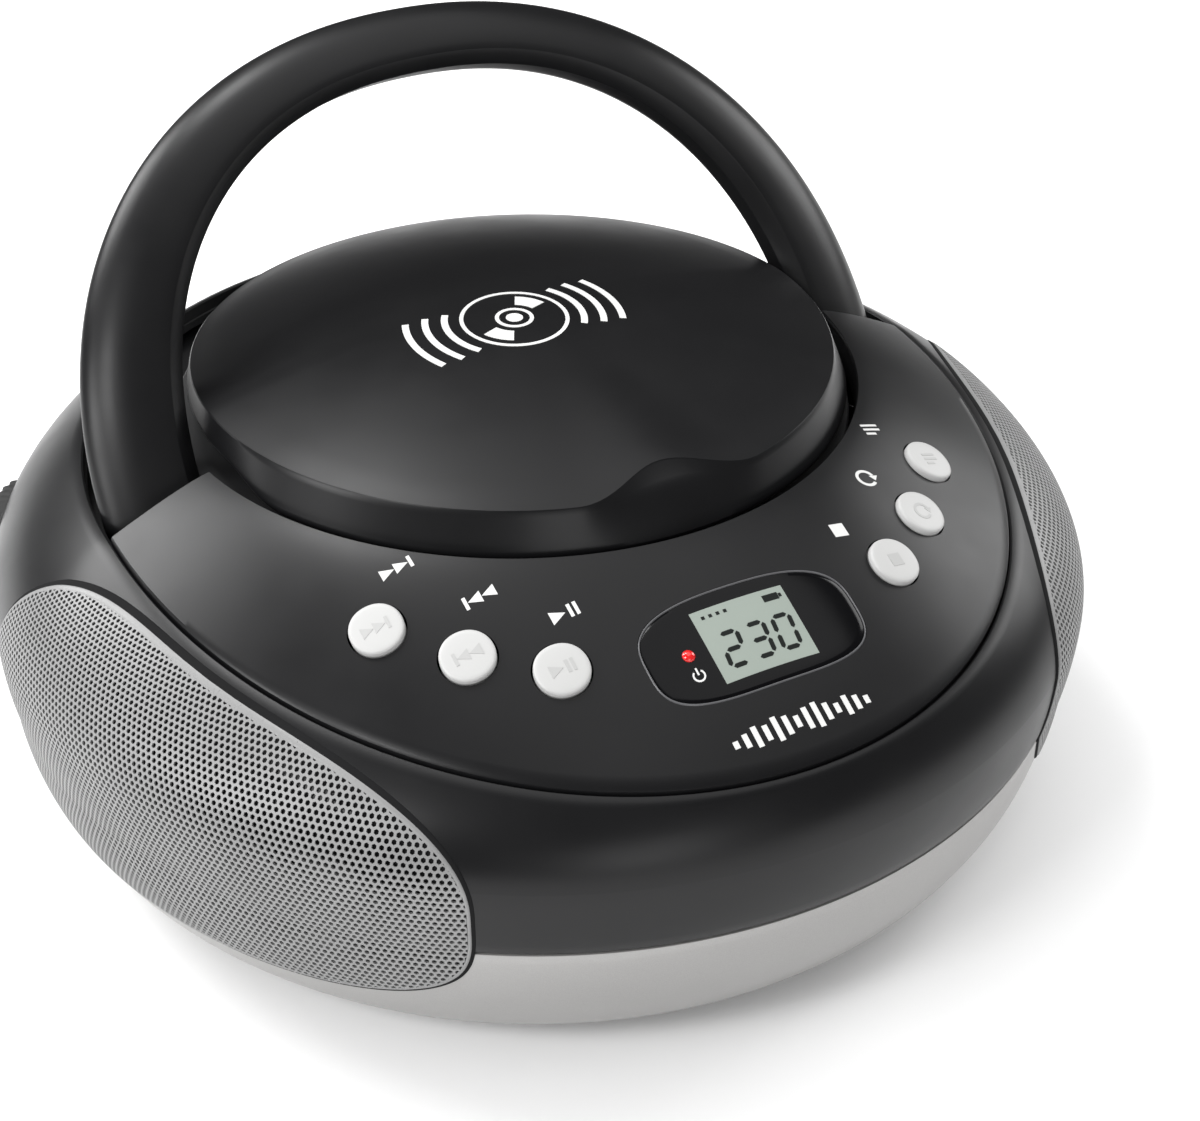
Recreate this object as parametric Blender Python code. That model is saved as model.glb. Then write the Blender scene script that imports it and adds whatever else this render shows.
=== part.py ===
"""Portable disc player and radio with a folding carrying handle, one object per physical piece.

The body is a flattened ball that stands on four rubber feet.  +X is the right side as seen
from the front, the front faces -Y and +Z is up.  The origin is on the floor under the centre
of the body.  Sizes below are millimetres; MM turns them into metres.
"""

import math

import bmesh
import bpy
from mathutils import Matrix, Vector

MM = 0.001
GAP = 0.3

# Body: a flattened ball cut by three seams.
BODY_R = 119.5
EQUATOR_Z = 50.0
SPLIT_Z = 35.5
BASE_R = 99.0
BASE_Z = 3.0
LOWER_SAG = 90.0
WALL = 2.5

# Seam between the shell and the console on top of it, as two half ellipses.
SEAM_A = 97.5
SEAM_FRONT = 113.0
SEAM_REAR = 108.0
SEAM_SIDE_Z = 77.0
SEAM_FRONT_DROP = 12.5
SEAM_REAR_DROP = 4.0
SEAM_POWER = 1.2

# Round opening of the disc well.
RIM_R = 75.0
RIM_Y = 11.0
RIM_Z = 87.0
WELL_R = 74.5
WELL_LEDGE_Z = 81.0
WELL_FLOOR_Z = 76.0
DISC_RECESS_R = 62.5
CHANNEL_Z = 66.3
WALL_DEG = 1.6

# Lid.
LID_R = 70.6
LID_SKIRT_Z = 87.4
LID_CREASE_Z = 93.6
LID_TOP_Z = 102.5
LID_WALL = 2.2
NOTCH_HALF_DEG = 15.0
NOTCH_DEPTH = 7.0
HINGE_Y = 77.5
HINGE_Z = 84.6
LUG_X = 21.0
LID_PIN_R = 1.5

# Handle: an arch whose own axes are x, s (up the legs) and n (out of its top face).
PIVOT_Y = 9.1
PIVOT_Z = 74.9
LEAN_DEG = 37.6
ARCH_IN_A = 75.3
ARCH_IN_B = 80.0
ARCH_IN_POWER = 2.24
ARCH_OUT_A = 94.9
ARCH_OUT_B = 94.5
ARCH_OUT_POWER = 2.15
ARCH_TOP_N = 8.0
ARCH_BOTTOM_N = -2.0
FOOT_S = -8.5
PIN_R = 2.5

# Buttons, mirrored in pairs about the display: plan position of each.
BUTTON_XY = {
    "play": (-37.0, -80.0),
    "back": (-51.0, -69.6),
    "next": (-63.0, -56.0),
    "stop": (37.0, -80.0),
    "repeat": (51.0, -69.6),
    "program": (63.0, -56.0),
}
BUTTON_HALF = 6.1
BUTTON_PROUD = 1.3
BUTTON_STEM = 4.2
BUTTON_GAP = 0.4
BOARD_DROP = 6.6

# Display.
DISPLAY_Y = -87.0
PILL_HALF_X = 22.8
PILL_HALF_Y = 10.9
LCD_X = 20.4
LCD_Y = 16.0
LED_X = -14.3

# Speaker grilles: centre and half width in degrees round the body.
GRILLE_DEG = 205.5
GRILLE_HALF_DEG = 31.0
GRILLE_LOW_Z = 9.5
GRILLE_TOP_DROP = 3.4
GRILLE_POWER = 3.4
GRILLE_PROUD = 1.0
SPEAKER_R = 29.0
SPEAKER_Z = 41.0

# Disc drive.
DRIVE_Z = 65.0
RAIL_X = 13.0
RAIL_LENGTH = 50.0
SLED_Y = -16.0

# Side wheels and the source switch.
WHEEL_DEG = 151.0
WHEEL_SEAT_R = 108.5
WHEEL_R = 13.0
WHEEL_Z = (48.0, 57.5)
SWITCH_DEG = 12.0
SWITCH_Z = 62.0
SWITCH_TRAVEL = 9.0

# Mains inlet.
INLET_DEG = 62.0
INLET_Z = 22.0

# Antenna, folded against a flat facet across the back that stands on a ledge.
FACET_Y = 110.3
FACET_LOW_Z = 51.5
SHOULDER_Z = 64.5
ANTENNA_Y = 114.2
ANTENNA_Z = 56.8
ANTENNA_X = (-30.0, 52.0)
ANTENNA_R = (2.6, 1.8, 0.9)
KNUCKLE_R = 3.5

ROUND_STEPS = 48
FLOOR_IN_Z = 5.5
SCREW_RING_R = 74.0
SCREW_DEGS = (18.0, 162.0, 240.0, 300.0)


def clear_scene():
    for item in list(bpy.data.objects):
        bpy.data.objects.remove(item, do_unlink=True)


def material(name, colour, roughness, metallic=0.0):
    """A Principled material, made once per name."""
    found = bpy.data.materials.get(name)
    if found:
        return found
    made = bpy.data.materials.new(name)
    made.use_nodes = True
    shader = made.node_tree.nodes["Principled BSDF"]
    shader.inputs["Base Color"].default_value = (*colour, 1.0)
    shader.inputs["Roughness"].default_value = roughness
    shader.inputs["Metallic"].default_value = metallic
    made.diffuse_color = (*colour, 1.0)
    return made


def black_satin():
    return material("black_satin", (0.012, 0.012, 0.013), 0.34)


def silver_satin():
    return material("silver_satin", (0.33, 0.32, 0.32), 0.3, 0.4)


def button_grey():
    return material("button_grey", (0.48, 0.48, 0.47), 0.45)


def inner_plastic():
    return material("inner_plastic", (0.03, 0.03, 0.032), 0.6)


def rubber_black():
    return material("rubber_black", (0.015, 0.015, 0.015), 0.85)


def steel():
    return material("steel", (0.55, 0.56, 0.57), 0.3, 1.0)


def circuit_board():
    return material("circuit_board", (0.03, 0.16, 0.07), 0.5)


# ---------------------------------------------------------------- mesh helpers


def finish(name, bm, surface, pivot=(0.0, 0.0, 0.0), parent=None, smooth=True):
    """Turn a millimetre bmesh into a named object whose origin is at pivot."""
    bmesh.ops.remove_doubles(bm, verts=bm.verts, dist=0.0005)
    bmesh.ops.recalc_face_normals(bm, faces=bm.faces)
    origin = Vector(pivot)
    for vert in bm.verts:
        vert.co = (vert.co - origin) * MM
    mesh = bpy.data.meshes.new(name)
    bm.to_mesh(mesh)
    bm.free()
    if smooth:
        mesh.shade_smooth()
        mesh.set_sharp_from_angle(angle=math.radians(35.0))
    made = bpy.data.objects.new(name, mesh)
    made.location = origin * MM
    bpy.context.scene.collection.objects.link(made)
    mesh.materials.append(surface)
    if parent:
        made.parent = parent
        made.matrix_parent_inverse = parent_inverse(parent)
    return made


def parent_inverse(parent):
    """The inverse of a parent's own placing, which is not yet in matrix_world."""
    return Matrix.LocRotScale(parent.location, parent.rotation_euler, None).inverted()


def empty_at(name, point):
    """An empty on a joint's axis, which the joint's pieces hang from."""
    made = bpy.data.objects.new(name, None)
    made.location = Vector(point) * MM
    bpy.context.scene.collection.objects.link(made)
    return made


def loft(bm, loops, closed_loop=True, closed_path=False, caps=True):
    """Skin a list of point loops, which all hold the same number of points."""
    rows = [[bm.verts.new(point) for point in loop] for loop in loops]
    count = len(rows[0])
    last = len(rows) if closed_path else len(rows) - 1
    span = count if closed_loop else count - 1
    for index in range(last):
        one = rows[index]
        two = rows[(index + 1) % len(rows)]
        for step in range(span):
            after = (step + 1) % count
            bm.faces.new((one[step], one[after], two[after], two[step]))
    if caps and not closed_path:
        bm.faces.new(rows[0])
        bm.faces.new(list(reversed(rows[-1])))
    return rows


def revolve(bm, profile, steps=ROUND_STEPS, centre=(0.0, 0.0), closed=True):
    """Turn an (r, z) profile about a vertical axis; an open one starts and ends on the axis."""
    loops = []
    for index in range(steps):
        angle = 2.0 * math.pi * index / steps
        turned = []
        for radius, height in profile:
            x = centre[0] + radius * math.cos(angle)
            y = centre[1] + radius * math.sin(angle)
            turned.append((x, y, height))
        loops.append(turned)
    loft(bm, loops, closed_loop=closed, closed_path=True, caps=False)
    bmesh.ops.remove_doubles(bm, verts=bm.verts, dist=0.0005)


def turned(name, profile, surface, frame=None, steps=16, closed=True, **place):
    """A turned piece; frame puts its local z axis where it belongs."""
    bm = bmesh.new()
    revolve(bm, profile, steps, closed=closed)
    if frame:
        bmesh.ops.transform(bm, matrix=frame, verts=bm.verts)
    return finish(name, bm, surface, **place)


def rod_profile(radius, low, high, chamfer=0.3):
    """Profile of a solid round bar along the axis."""
    return [(0.0, low), (radius - chamfer, low), (radius, low + chamfer),
            (radius, high - chamfer), (radius - chamfer, high), (0.0, high)]


def box(name, low, high, surface, bevel=0.0, frame=None, **place):
    """A block between two corners, with its edges bevelled."""
    bm = bmesh.new()
    bmesh.ops.create_cube(bm, size=1.0)
    low, high = Vector(low), Vector(high)
    for vert in bm.verts:
        for axis in range(3):
            vert.co[axis] = high[axis] if vert.co[axis] > 0.0 else low[axis]
    if bevel:
        bmesh.ops.bevel(bm, geom=list(bm.edges), offset=bevel, segments=1, affect="EDGES")
    if frame:
        bmesh.ops.transform(bm, matrix=frame, verts=bm.verts)
    return finish(name, bm, surface, smooth=False, **place)


def prism(bm, outline, low, high, frame):
    """Extrude a closed (x, y) outline between two heights of a local frame."""
    loops = [[frame @ Vector((x, y, level)) for x, y in outline] for level in (low, high)]
    loft(bm, loops)


def squircle(half_x, half_y, power, count=32):
    """A closed superellipse outline."""
    points = []
    for index in range(count):
        angle = 2.0 * math.pi * index / count
        c, s = math.cos(angle), math.sin(angle)
        x = half_x * math.copysign(abs(c) ** (2.0 / power), c)
        y = half_y * math.copysign(abs(s) ** (2.0 / power), s)
        points.append((x, y))
    return points


def cut(target, cutter):
    """Boolean the cutter out of the target and keep the cutter as a wire guide."""
    cutter.hide_render = True
    cutter.display_type = "WIRE"
    modifier = target.modifiers.new("cut_" + cutter.name, "BOOLEAN")
    modifier.operation = "DIFFERENCE"
    modifier.solver = "EXACT"
    modifier.object = cutter


def join(target, other):
    """Boolean another object into the target and keep it as a wire guide."""
    other.hide_render = True
    other.display_type = "WIRE"
    modifier = target.modifiers.new("join_" + other.name, "BOOLEAN")
    modifier.operation = "UNION"
    modifier.solver = "EXACT"
    modifier.object = other


def frame_at(point, z_axis, x_hint=(1.0, 0.0, 0.0)):
    """A frame at a point, with its z axis given and its x axis near the hint."""
    z_axis = Vector(z_axis).normalized()
    y_axis = z_axis.cross(Vector(x_hint)).normalized()
    x_axis = y_axis.cross(z_axis)
    turn = Matrix((x_axis, y_axis, z_axis)).transposed()
    return Matrix.Translation(Vector(point)) @ turn.to_4x4()


# ---------------------------------------------------------------- body surfaces


def seam_radius(angle):
    """Plan radius of the console's seam at an angle round the body."""
    depth = SEAM_FRONT if math.sin(angle) < 0.0 else SEAM_REAR
    return SEAM_A * depth / math.hypot(depth * math.cos(angle), SEAM_A * math.sin(angle))


def seam_z(angle):
    s = math.sin(angle)
    drop = SEAM_FRONT_DROP if s < 0.0 else SEAM_REAR_DROP
    return SEAM_SIDE_Z - drop * abs(s) ** SEAM_POWER


def body_radius(angle, height):
    """Outer radius of the ball at an angle and a height."""
    if height < SPLIT_Z:
        rise = (SPLIT_Z - height) / (SPLIT_Z - BASE_Z)
        waist = BODY_R * math.sqrt(1.0 - ((EQUATOR_Z - SPLIT_Z) / LOWER_SAG) ** 2)
        return BASE_R + (waist - BASE_R) * math.sqrt(max(0.0, 1.0 - rise * rise))
    if height < EQUATOR_Z:
        return BODY_R * math.sqrt(1.0 - ((EQUATOR_Z - height) / LOWER_SAG) ** 2)
    reach = (seam_z(angle) - EQUATOR_Z) / math.sqrt(1.0 - (seam_radius(angle) / BODY_R) ** 2)
    return BODY_R * math.sqrt(max(0.0, 1.0 - ((height - EQUATOR_Z) / reach) ** 2))


def faceted_radius(angle, height):
    """The ball's radius with the antenna's flat facet pressed into the back."""
    radius = body_radius(angle, height)
    if math.sin(angle) > 0.5 and height > FACET_LOW_Z:
        radius = min(radius, FACET_Y / math.sin(angle))
    return radius


def rim_radius(angle):
    """Distance from the body's centre to the rim of the disc well."""
    return RIM_Y * math.sin(angle) + math.sqrt(RIM_R ** 2 - (RIM_Y * math.cos(angle)) ** 2)


def console_z(x, y):
    """Height of the console's top face at a plan point in front of the handle."""
    angle = math.atan2(y, x)
    inner, outer = rim_radius(angle), seam_radius(angle)
    share = (math.hypot(x, y) - inner) / (outer - inner)
    return RIM_Z - (RIM_Z - seam_z(angle)) * max(0.0, share) ** SEAM_POWER


def console_normal(x, y):
    step = 0.5
    slope_x = (console_z(x + step, y) - console_z(x - step, y)) / (2.0 * step)
    slope_y = (console_z(x, y + step) - console_z(x, y - step)) / (2.0 * step)
    return Vector((-slope_x, -slope_y, 1.0)).normalized()


def polar(angle, radius, height):
    return (radius * math.cos(angle), radius * math.sin(angle), height)


def radial_frame(angle, radius, height):
    """A frame on the body's side: z points outwards and y points up."""
    out = Vector((math.cos(angle), math.sin(angle), 0.0))
    tangent = Vector((-math.sin(angle), math.cos(angle), 0.0))
    return frame_at(out * radius + Vector((0.0, 0.0, height)), out, tangent)


# ---------------------------------------------------------------- shells


def grille_outline(grow, count=36):
    """Closed outline of the left grille as (angle, height), grown by a length."""
    points = []
    for index in range(count):
        turn = 2.0 * math.pi * index / count
        c, s = math.cos(turn), math.sin(turn)
        x = math.copysign(abs(c) ** (2.0 / GRILLE_POWER), c)
        z = math.copysign(abs(s) ** (2.0 / GRILLE_POWER), s)
        half = math.radians(GRILLE_HALF_DEG) + grow / BODY_R
        angle = math.radians(GRILLE_DEG) + half * x
        top = seam_z(angle) - GRILLE_TOP_DROP + grow
        low = GRILLE_LOW_Z - grow
        points.append((angle, (top + low) / 2.0 + (top - low) / 2.0 * z))
    return points


def grille_patch(bm, grow, inside, outside, mirror):
    """A closed skin over the grille's outline between two offsets from the ball."""
    outline = grille_outline(grow)
    centre = math.radians(GRILLE_DEG)
    middle = (seam_z(centre) - GRILLE_TOP_DROP + GRILLE_LOW_Z) / 2.0
    scales = (0.999, 0.72, 0.4)
    loops = []
    for offset, order in ((inside, reversed(scales)), (outside, scales)):
        for scale in order:
            loop = []
            for angle, height in outline:
                angle = centre + (angle - centre) * scale
                height = middle + (height - middle) * scale
                x, y, z = polar(angle, body_radius(angle, height) + offset, height)
                loop.append((x * mirror, y, z))
            loops.append(loop)
    loft(bm, loops, caps=False)
    for loop, offset in ((loops[0], inside), (loops[-1], outside)):
        x, y, z = polar(centre, body_radius(centre, middle) + offset, middle)
        hub = bm.verts.new((x * mirror, y, z))
        ring = [bm.verts.new(point) for point in loop]
        for index, vert in enumerate(ring):
            bm.faces.new((vert, ring[(index + 1) % len(ring)], hub))


def grille_cutter(side, mirror):
    bm = bmesh.new()
    grille_patch(bm, 0.0, -7.0, 7.0, mirror)
    return finish(side + "_grille_cutter", bm, black_satin())


def lower_shell(cutters):
    """Silver bowl: the bottom half of the case."""
    levels = [SPLIT_Z - GAP, 30.0, 24.0, 18.0, 12.0, 7.5, 4.5, BASE_Z]
    outer = [(body_radius(0.0, level), level) for level in levels]
    inner = [(max(radius - WALL, 0.0), level) for radius, level in outer if level > FLOOR_IN_Z]
    bm = bmesh.new()
    profile = [(0.0, BASE_Z)] + list(reversed(outer)) + inner
    profile += [(BASE_R - WALL, FLOOR_IN_Z), (0.0, FLOOR_IN_Z)]
    revolve(bm, profile, closed=False)
    shell = finish("lower_shell", bm, silver_satin())
    for cutter in cutters:
        cut(shell, cutter)


def upper_shell(cutters):
    """Black band round the waist, from the split line up to the console's seam."""
    loops = []
    for index in range(ROUND_STEPS):
        angle = 2.0 * math.pi * index / ROUND_STEPS
        top = seam_z(angle)
        seam = seam_radius(angle)
        shoulder = min(SHOULDER_Z, top - 3.0)
        mids = [0.75 * top + 0.25 * shoulder, shoulder, FACET_LOW_Z + 0.02, FACET_LOW_Z, SPLIT_Z]
        loop = [polar(angle, seam, top)]
        loop += [polar(angle, faceted_radius(angle, z), z) for z in mids]
        loop += [polar(angle, faceted_radius(angle, z) - WALL, z) for z in reversed(mids)]
        if math.sin(angle) < -0.05:
            steps = ((4.0, 5.0), (4.0, 3.2), (1.2, 3.2), (1.2, 0.0))
        else:
            steps = ((1.6, 2.4), (1.4, 1.5), (1.1, 0.8), (1.0, 0.0))
        loop += [polar(angle, seam - inward, top - drop) for inward, drop in steps]
        loops.append(loop)
    bm = bmesh.new()
    loft(bm, loops, closed_path=True, caps=False)
    shell = finish("upper_shell", bm, black_satin())
    for cutter in cutters:
        cut(shell, cutter)


def console_panel(cutters):
    """Front half of the top: the sloping control panel, with a wall at each end."""
    wall = math.radians(WALL_DEG)
    plain = 26
    angles = [math.pi, math.pi + wall, math.pi + wall + 0.002]
    start = angles[-1]
    for index in range(1, plain):
        angles.append(start + (1.5 * math.pi - start) * 2.0 * index / plain)
    angles += [2.0 * math.pi - wall - 0.002, 2.0 * math.pi - wall, 2.0 * math.pi]
    angles = sorted(set(angles))
    shares = (0.0, 0.12, 0.35, 0.6, 0.8, 1.0)
    foot = CHANNEL_Z + GAP
    loops = []
    for angle in angles:
        inner = rim_radius(angle)
        outer = seam_radius(angle) - 1.2 - GAP
        is_wall = min(angle - math.pi, 2.0 * math.pi - angle) < wall + 0.001
        top = []
        bottom = []
        for share in shares:
            radius = inner + (outer - inner) * share
            x, y, _ = polar(angle, radius, 0.0)
            height = console_z(x, min(y, -0.001))
            top.append((x, y, height))
            under = foot if is_wall else height - WALL
            bottom.append((x, y, under))
        lip = rim_radius(angle) + 2.0
        lip_x, lip_y, _ = polar(angle, lip, 0.0)
        rim_low = foot if is_wall else WELL_LEDGE_Z - 1.0
        lip_top = foot if is_wall else RIM_Z - WALL - 0.4
        loop = list(reversed(top))
        loop.append((bottom[0][0], bottom[0][1], rim_low))
        loop.append((lip_x, lip_y, rim_low + (0.001 if is_wall else 0.0)))
        loop.append((lip_x, lip_y, lip_top + (0.002 if is_wall else 0.0)))
        loop += bottom[1:]
        loops.append(loop)
    bm = bmesh.new()
    loft(bm, loops)
    panel = finish("console_panel", bm, black_satin())
    for cutter in cutters:
        cut(panel, cutter)


def handle_channel():
    """Sunk floor behind the console, where the handle folds away."""
    steps = 36
    loops = []
    for index in range(steps + 1):
        angle = math.pi * index / steps
        inner = rim_radius(angle) + 0.2
        outer = faceted_radius(angle, CHANNEL_Z + 1.0) - WALL - 2.6
        low = CHANNEL_Z - 2.3
        loop = [polar(angle, inner, low), polar(angle, outer, low)]
        loop += [polar(angle, outer, CHANNEL_Z), polar(angle, inner, CHANNEL_Z)]
        loops.append(loop)
    bm = bmesh.new()
    loft(bm, loops)
    finish("handle_channel", bm, black_satin())


def disc_well():
    """Round tray under the lid: a ledge, the disc recess and a skirt round it."""
    outer = WELL_R
    profile = [(outer, CHANNEL_Z - 2.0), (outer, WELL_LEDGE_Z), (DISC_RECESS_R + 1.0, WELL_LEDGE_Z)]
    profile += [(DISC_RECESS_R, WELL_FLOOR_Z), (17.5, WELL_FLOOR_Z), (17.5, WELL_FLOOR_Z - 2.0)]
    profile += [(DISC_RECESS_R + 2.0, WELL_FLOOR_Z - 2.0), (DISC_RECESS_R + 3.0, WELL_LEDGE_Z - 2.0)]
    profile += [(outer - 2.2, WELL_LEDGE_Z - 2.0), (outer - 2.2, CHANNEL_Z - 2.0)]
    bm = bmesh.new()
    revolve(bm, profile, centre=(0.0, RIM_Y))
    well = finish("disc_well", bm, inner_plastic())
    cut(well, box("pickup_slot", (-10.5, RIM_Y - 60.0, WELL_FLOOR_Z - 6.0),
                  (10.5, RIM_Y - 15.0, WELL_FLOOR_Z + 4.0), inner_plastic()))
    return well


# ---------------------------------------------------------------- lid


def notch_share(angle):
    """1 in the middle of the lid's thumb notch, falling to 0 at its ends."""
    away = abs(math.degrees(angle) - 270.0) / NOTCH_HALF_DEG
    return 0.5 + 0.5 * math.cos(math.pi * min(1.0, away))


def lid(hub):
    """Domed lid with a turned-down skirt, a thumb notch and two hinge lugs."""
    loops = []
    dome = (0.0, 0.3, 0.55, 0.75, 0.9)
    for index in range(ROUND_STEPS):
        angle = 2.0 * math.pi * index / ROUND_STEPS
        notch = notch_share(angle)
        crease = LID_R - 1.0 - NOTCH_DEPTH * notch
        edge = LID_R - 0.6 * notch
        rise = LID_TOP_Z - LID_CREASE_Z
        top = []
        for share in dome:
            radius = crease * share
            top.append((radius, LID_TOP_Z - rise * (radius / LID_R) ** 2))
        crease_z = LID_TOP_Z - rise * (crease / LID_R) ** 2
        top.append((crease, crease_z - 0.3))
        top.append((LID_R - 0.1 - 5.0 * notch, LID_CREASE_Z - 1.2 + 0.4 * notch))
        top.append((edge, LID_SKIRT_Z + 1.6))
        top.append((edge, LID_SKIRT_Z))
        under = [(edge - 1.6, LID_SKIRT_Z), (edge - 1.7, LID_SKIRT_Z + 1.0)]
        under.append((crease - 1.9, LID_SKIRT_Z + 3.2 - notch))
        under += [(crease * share, top[i][1] - LID_WALL - 0.5 * share) for i, share in
                  reversed(list(enumerate(dome[:4])))]
        loop = [(r * math.cos(angle), RIM_Y + r * math.sin(angle), z) for r, z in top + under]
        loops.append(loop)
    bm = bmesh.new()
    loft(bm, loops, closed_loop=False, closed_path=True, caps=False)
    shell = finish("lid_shell", bm, black_satin(), pivot=(0.0, HINGE_Y, HINGE_Z), parent=hub)
    for sign, side in ((-1.0, "left"), (1.0, "right")):
        join(shell, box("lid_lug_" + side, (sign * LUG_X - 2.0, HINGE_Y - 3.0, HINGE_Z - 2.6),
                        (sign * LUG_X + 2.0, HINGE_Y + 2.2, HINGE_Z + 7.0), black_satin(),
                        parent=hub))
    across = frame_at((-40.0, HINGE_Y, HINGE_Z), (1.0, 0.0, 0.0), (0.0, 1.0, 0.0))
    cut(shell, turned("lid_pin_bore", rod_profile(LID_PIN_R + 0.3, 0.0, 80.0, 0.01), steel(),
                      across, 16, closed=False, parent=hub))


def lid_clamp(hub):
    """Magnetic puck that holds the disc down, free to turn in a retainer under the lid."""
    low = WELL_FLOOR_Z + 6.0
    profile = [(16.0, low + 1.0), (16.0, low + 7.5), (9.0, low + 7.5), (9.0, low + 6.3),
               (14.0, low + 6.3), (14.0, low + 2.2), (11.4, low + 2.2), (11.4, low + 1.0)]
    at_disc = Matrix.Translation(Vector((0.0, RIM_Y, 0.0)))
    turned("clamp_retainer", profile, inner_plastic(), at_disc, parent=hub)
    profile = [(0.0, low), (10.6, low), (10.6, low + 2.8), (13.0, low + 2.8), (13.0, low + 4.6),
               (0.0, low + 4.6)]
    turned("clamp_puck", profile, button_grey(), at_disc, closed=False,
           pivot=(0.0, RIM_Y, low), parent=hub)


def lid_hinges():
    """Two brackets on the ledge of the disc well, each with the stub pin of a lid lug."""
    for sign, side in ((-1.0, "left"), (1.0, "right")):
        near, far = sorted((sign * (LUG_X + 3.4), sign * (LUG_X + 7.0)))
        bracket = box("lid_hinge_" + side, (near, HINGE_Y - 2.6, WELL_LEDGE_Z + GAP),
                      (far, HINGE_Y + 2.0, HINGE_Z + 2.2), black_satin())
        frame = frame_at((sign * (LUG_X - 2.6), HINGE_Y, HINGE_Z), (sign, 0.0, 0.0),
                         (0.0, 1.0, 0.0))
        join(bracket, turned("stub_" + side, rod_profile(LID_PIN_R, 0.0, 8.0), black_satin(),
                             frame, 16, closed=False))


# ---------------------------------------------------------------- handle


def arch_point(turn, a, b, power):
    """A point (x, s) on half a superellipse, with turn running 0 to pi."""
    c, s = math.cos(turn), math.sin(turn)
    x = a * math.copysign(abs(c) ** (2.0 / power), c)
    return x, b * abs(s) ** (2.0 / power)


def arch_stations():
    """Inner and outer edge of the handle at each station, from the right foot to the left."""
    feet = [(FOOT_S, 0.45, 0.4), (0.85 * FOOT_S, 0.72, 0.62), (0.5 * FOOT_S, 0.93, 0.88)]
    stations = []
    for s, width, height in feet:
        mid = (ARCH_IN_A + ARCH_OUT_A) / 2.0
        half = (ARCH_OUT_A - ARCH_IN_A) / 2.0
        inner = mid - half * (0.35 + 0.65 * width)
        stations.append(((inner, s), (mid + half * width, s), height))
    steps = 28
    for index in range(steps + 1):
        turn = math.pi * index / steps
        inner = arch_point(turn, ARCH_IN_A, ARCH_IN_B, ARCH_IN_POWER)
        outer = arch_point(turn, ARCH_OUT_A, ARCH_OUT_B, ARCH_OUT_POWER)
        stations.append((inner, outer, 1.0))
    for inner, outer, height in list(reversed(stations[:3])):
        stations.append(((-inner[0], inner[1]), (-outer[0], outer[1]), height))
    return stations


def handle_section(station, section):
    """Place a section, given as (share of the width, n), at a station of the arch."""
    (x_in, s_in), (x_out, s_out), _ = station
    loop = []
    for share, n in section:
        x = x_in + (x_out - x_in) * share
        s = s_in + (s_out - s_in) * share
        loop.append(handle_place(x, s, n))
    return loop


def handle_place(x, s, n):
    """From the handle's own axes to the body's, in its leaning rest position."""
    lean = math.radians(LEAN_DEG)
    y = PIVOT_Y + s * math.sin(lean) - n * math.cos(lean)
    z = PIVOT_Z + s * math.cos(lean) + n * math.sin(lean)
    return Vector((x, y, z))


def handle(hub):
    """Carrying handle in two halves: a domed cover and the trough that it closes."""
    covers = []
    troughs = []
    for station in arch_stations():
        height = station[2]
        top = ARCH_TOP_N * height
        low = ARCH_BOTTOM_N * height
        part_n = low + (top - low) * 0.72
        edge_n = low + (top - low) * 0.12
        wall = 0.13
        covers.append(handle_section(station, [
            (0.0, part_n), (0.13, top), (0.4, top - 1.0 * height), (0.72, top - 3.4 * height),
            (0.93, top - 6.2 * height), (1.0, edge_n + 1.2 * height), (1.0, edge_n),
            (1.0 - wall, edge_n), (0.7, top - 5.6 * height), (0.4, top - 3.4 * height),
            (wall, part_n)]))
        troughs.append(handle_section(station, [
            (0.0, part_n - GAP), (wall - 0.02, part_n - GAP), (wall - 0.01, low + 2.0 * height),
            (0.82, low + 2.0 * height), (0.86, edge_n - GAP), (0.985, edge_n - GAP),
            (0.94, low), (0.04, low)]))
    bm = bmesh.new()
    loft(bm, covers)
    finish("handle_cover", bm, black_satin(), pivot=(0.0, PIVOT_Y, PIVOT_Z), parent=hub)
    bm = bmesh.new()
    loft(bm, troughs)
    trough = finish("handle_trough", bm, black_satin(), pivot=(0.0, PIVOT_Y, PIVOT_Z), parent=hub)
    return trough


def handle_pins(trough, well):
    """The two pins that the handle turns on, fixed in the wall of the disc well."""
    for sign, side in ((-1.0, "left"), (1.0, "right")):
        frame = frame_at((sign * 70.5, PIVOT_Y, PIVOT_Z), (sign, 0.0, 0.0), (0.0, 1.0, 0.0))
        turned("handle_pin_" + side, rod_profile(PIN_R, 0.0, 9.5), steel(), frame, 20,
               closed=False)
        bm = bmesh.new()
        revolve(bm, rod_profile(PIN_R + 0.35, -1.0, 10.4, 0.01), 20, closed=False)
        bmesh.ops.transform(bm, matrix=frame, verts=bm.verts)
        cutter = finish("pin_hole_" + side, bm, steel())
        cut(trough, cutter)
        cut(well, cutter)


# ---------------------------------------------------------------- controls


def button_frame(x, y):
    return frame_at((x, y, console_z(x, y)), console_normal(x, y))


def buttons():
    """Six keys that slide along the console's normal, and the holes they sit in."""
    holes = []
    for name, (x, y) in BUTTON_XY.items():
        frame = button_frame(x, y)
        bm = bmesh.new()
        full = squircle(BUTTON_HALF, BUTTON_HALF, 2.6, 20)
        small = squircle(BUTTON_HALF - 0.5, BUTTON_HALF - 0.5, 2.6, 20)
        levels = ((-BUTTON_STEM, full), (BUTTON_PROUD - 0.5, full), (BUTTON_PROUD, small))
        loft(bm, [[frame @ Vector((u, v, level)) for u, v in outline]
                  for level, outline in levels])
        finish("button_" + name, bm, button_grey(), pivot=frame.translation)
        bm = bmesh.new()
        hole = squircle(BUTTON_HALF + BUTTON_GAP, BUTTON_HALF + BUTTON_GAP, 2.6, 20)
        prism(bm, hole, -6.0, 4.0, frame)
        holes.append(finish("hole_" + name, bm, button_grey()))
    return holes


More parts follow.
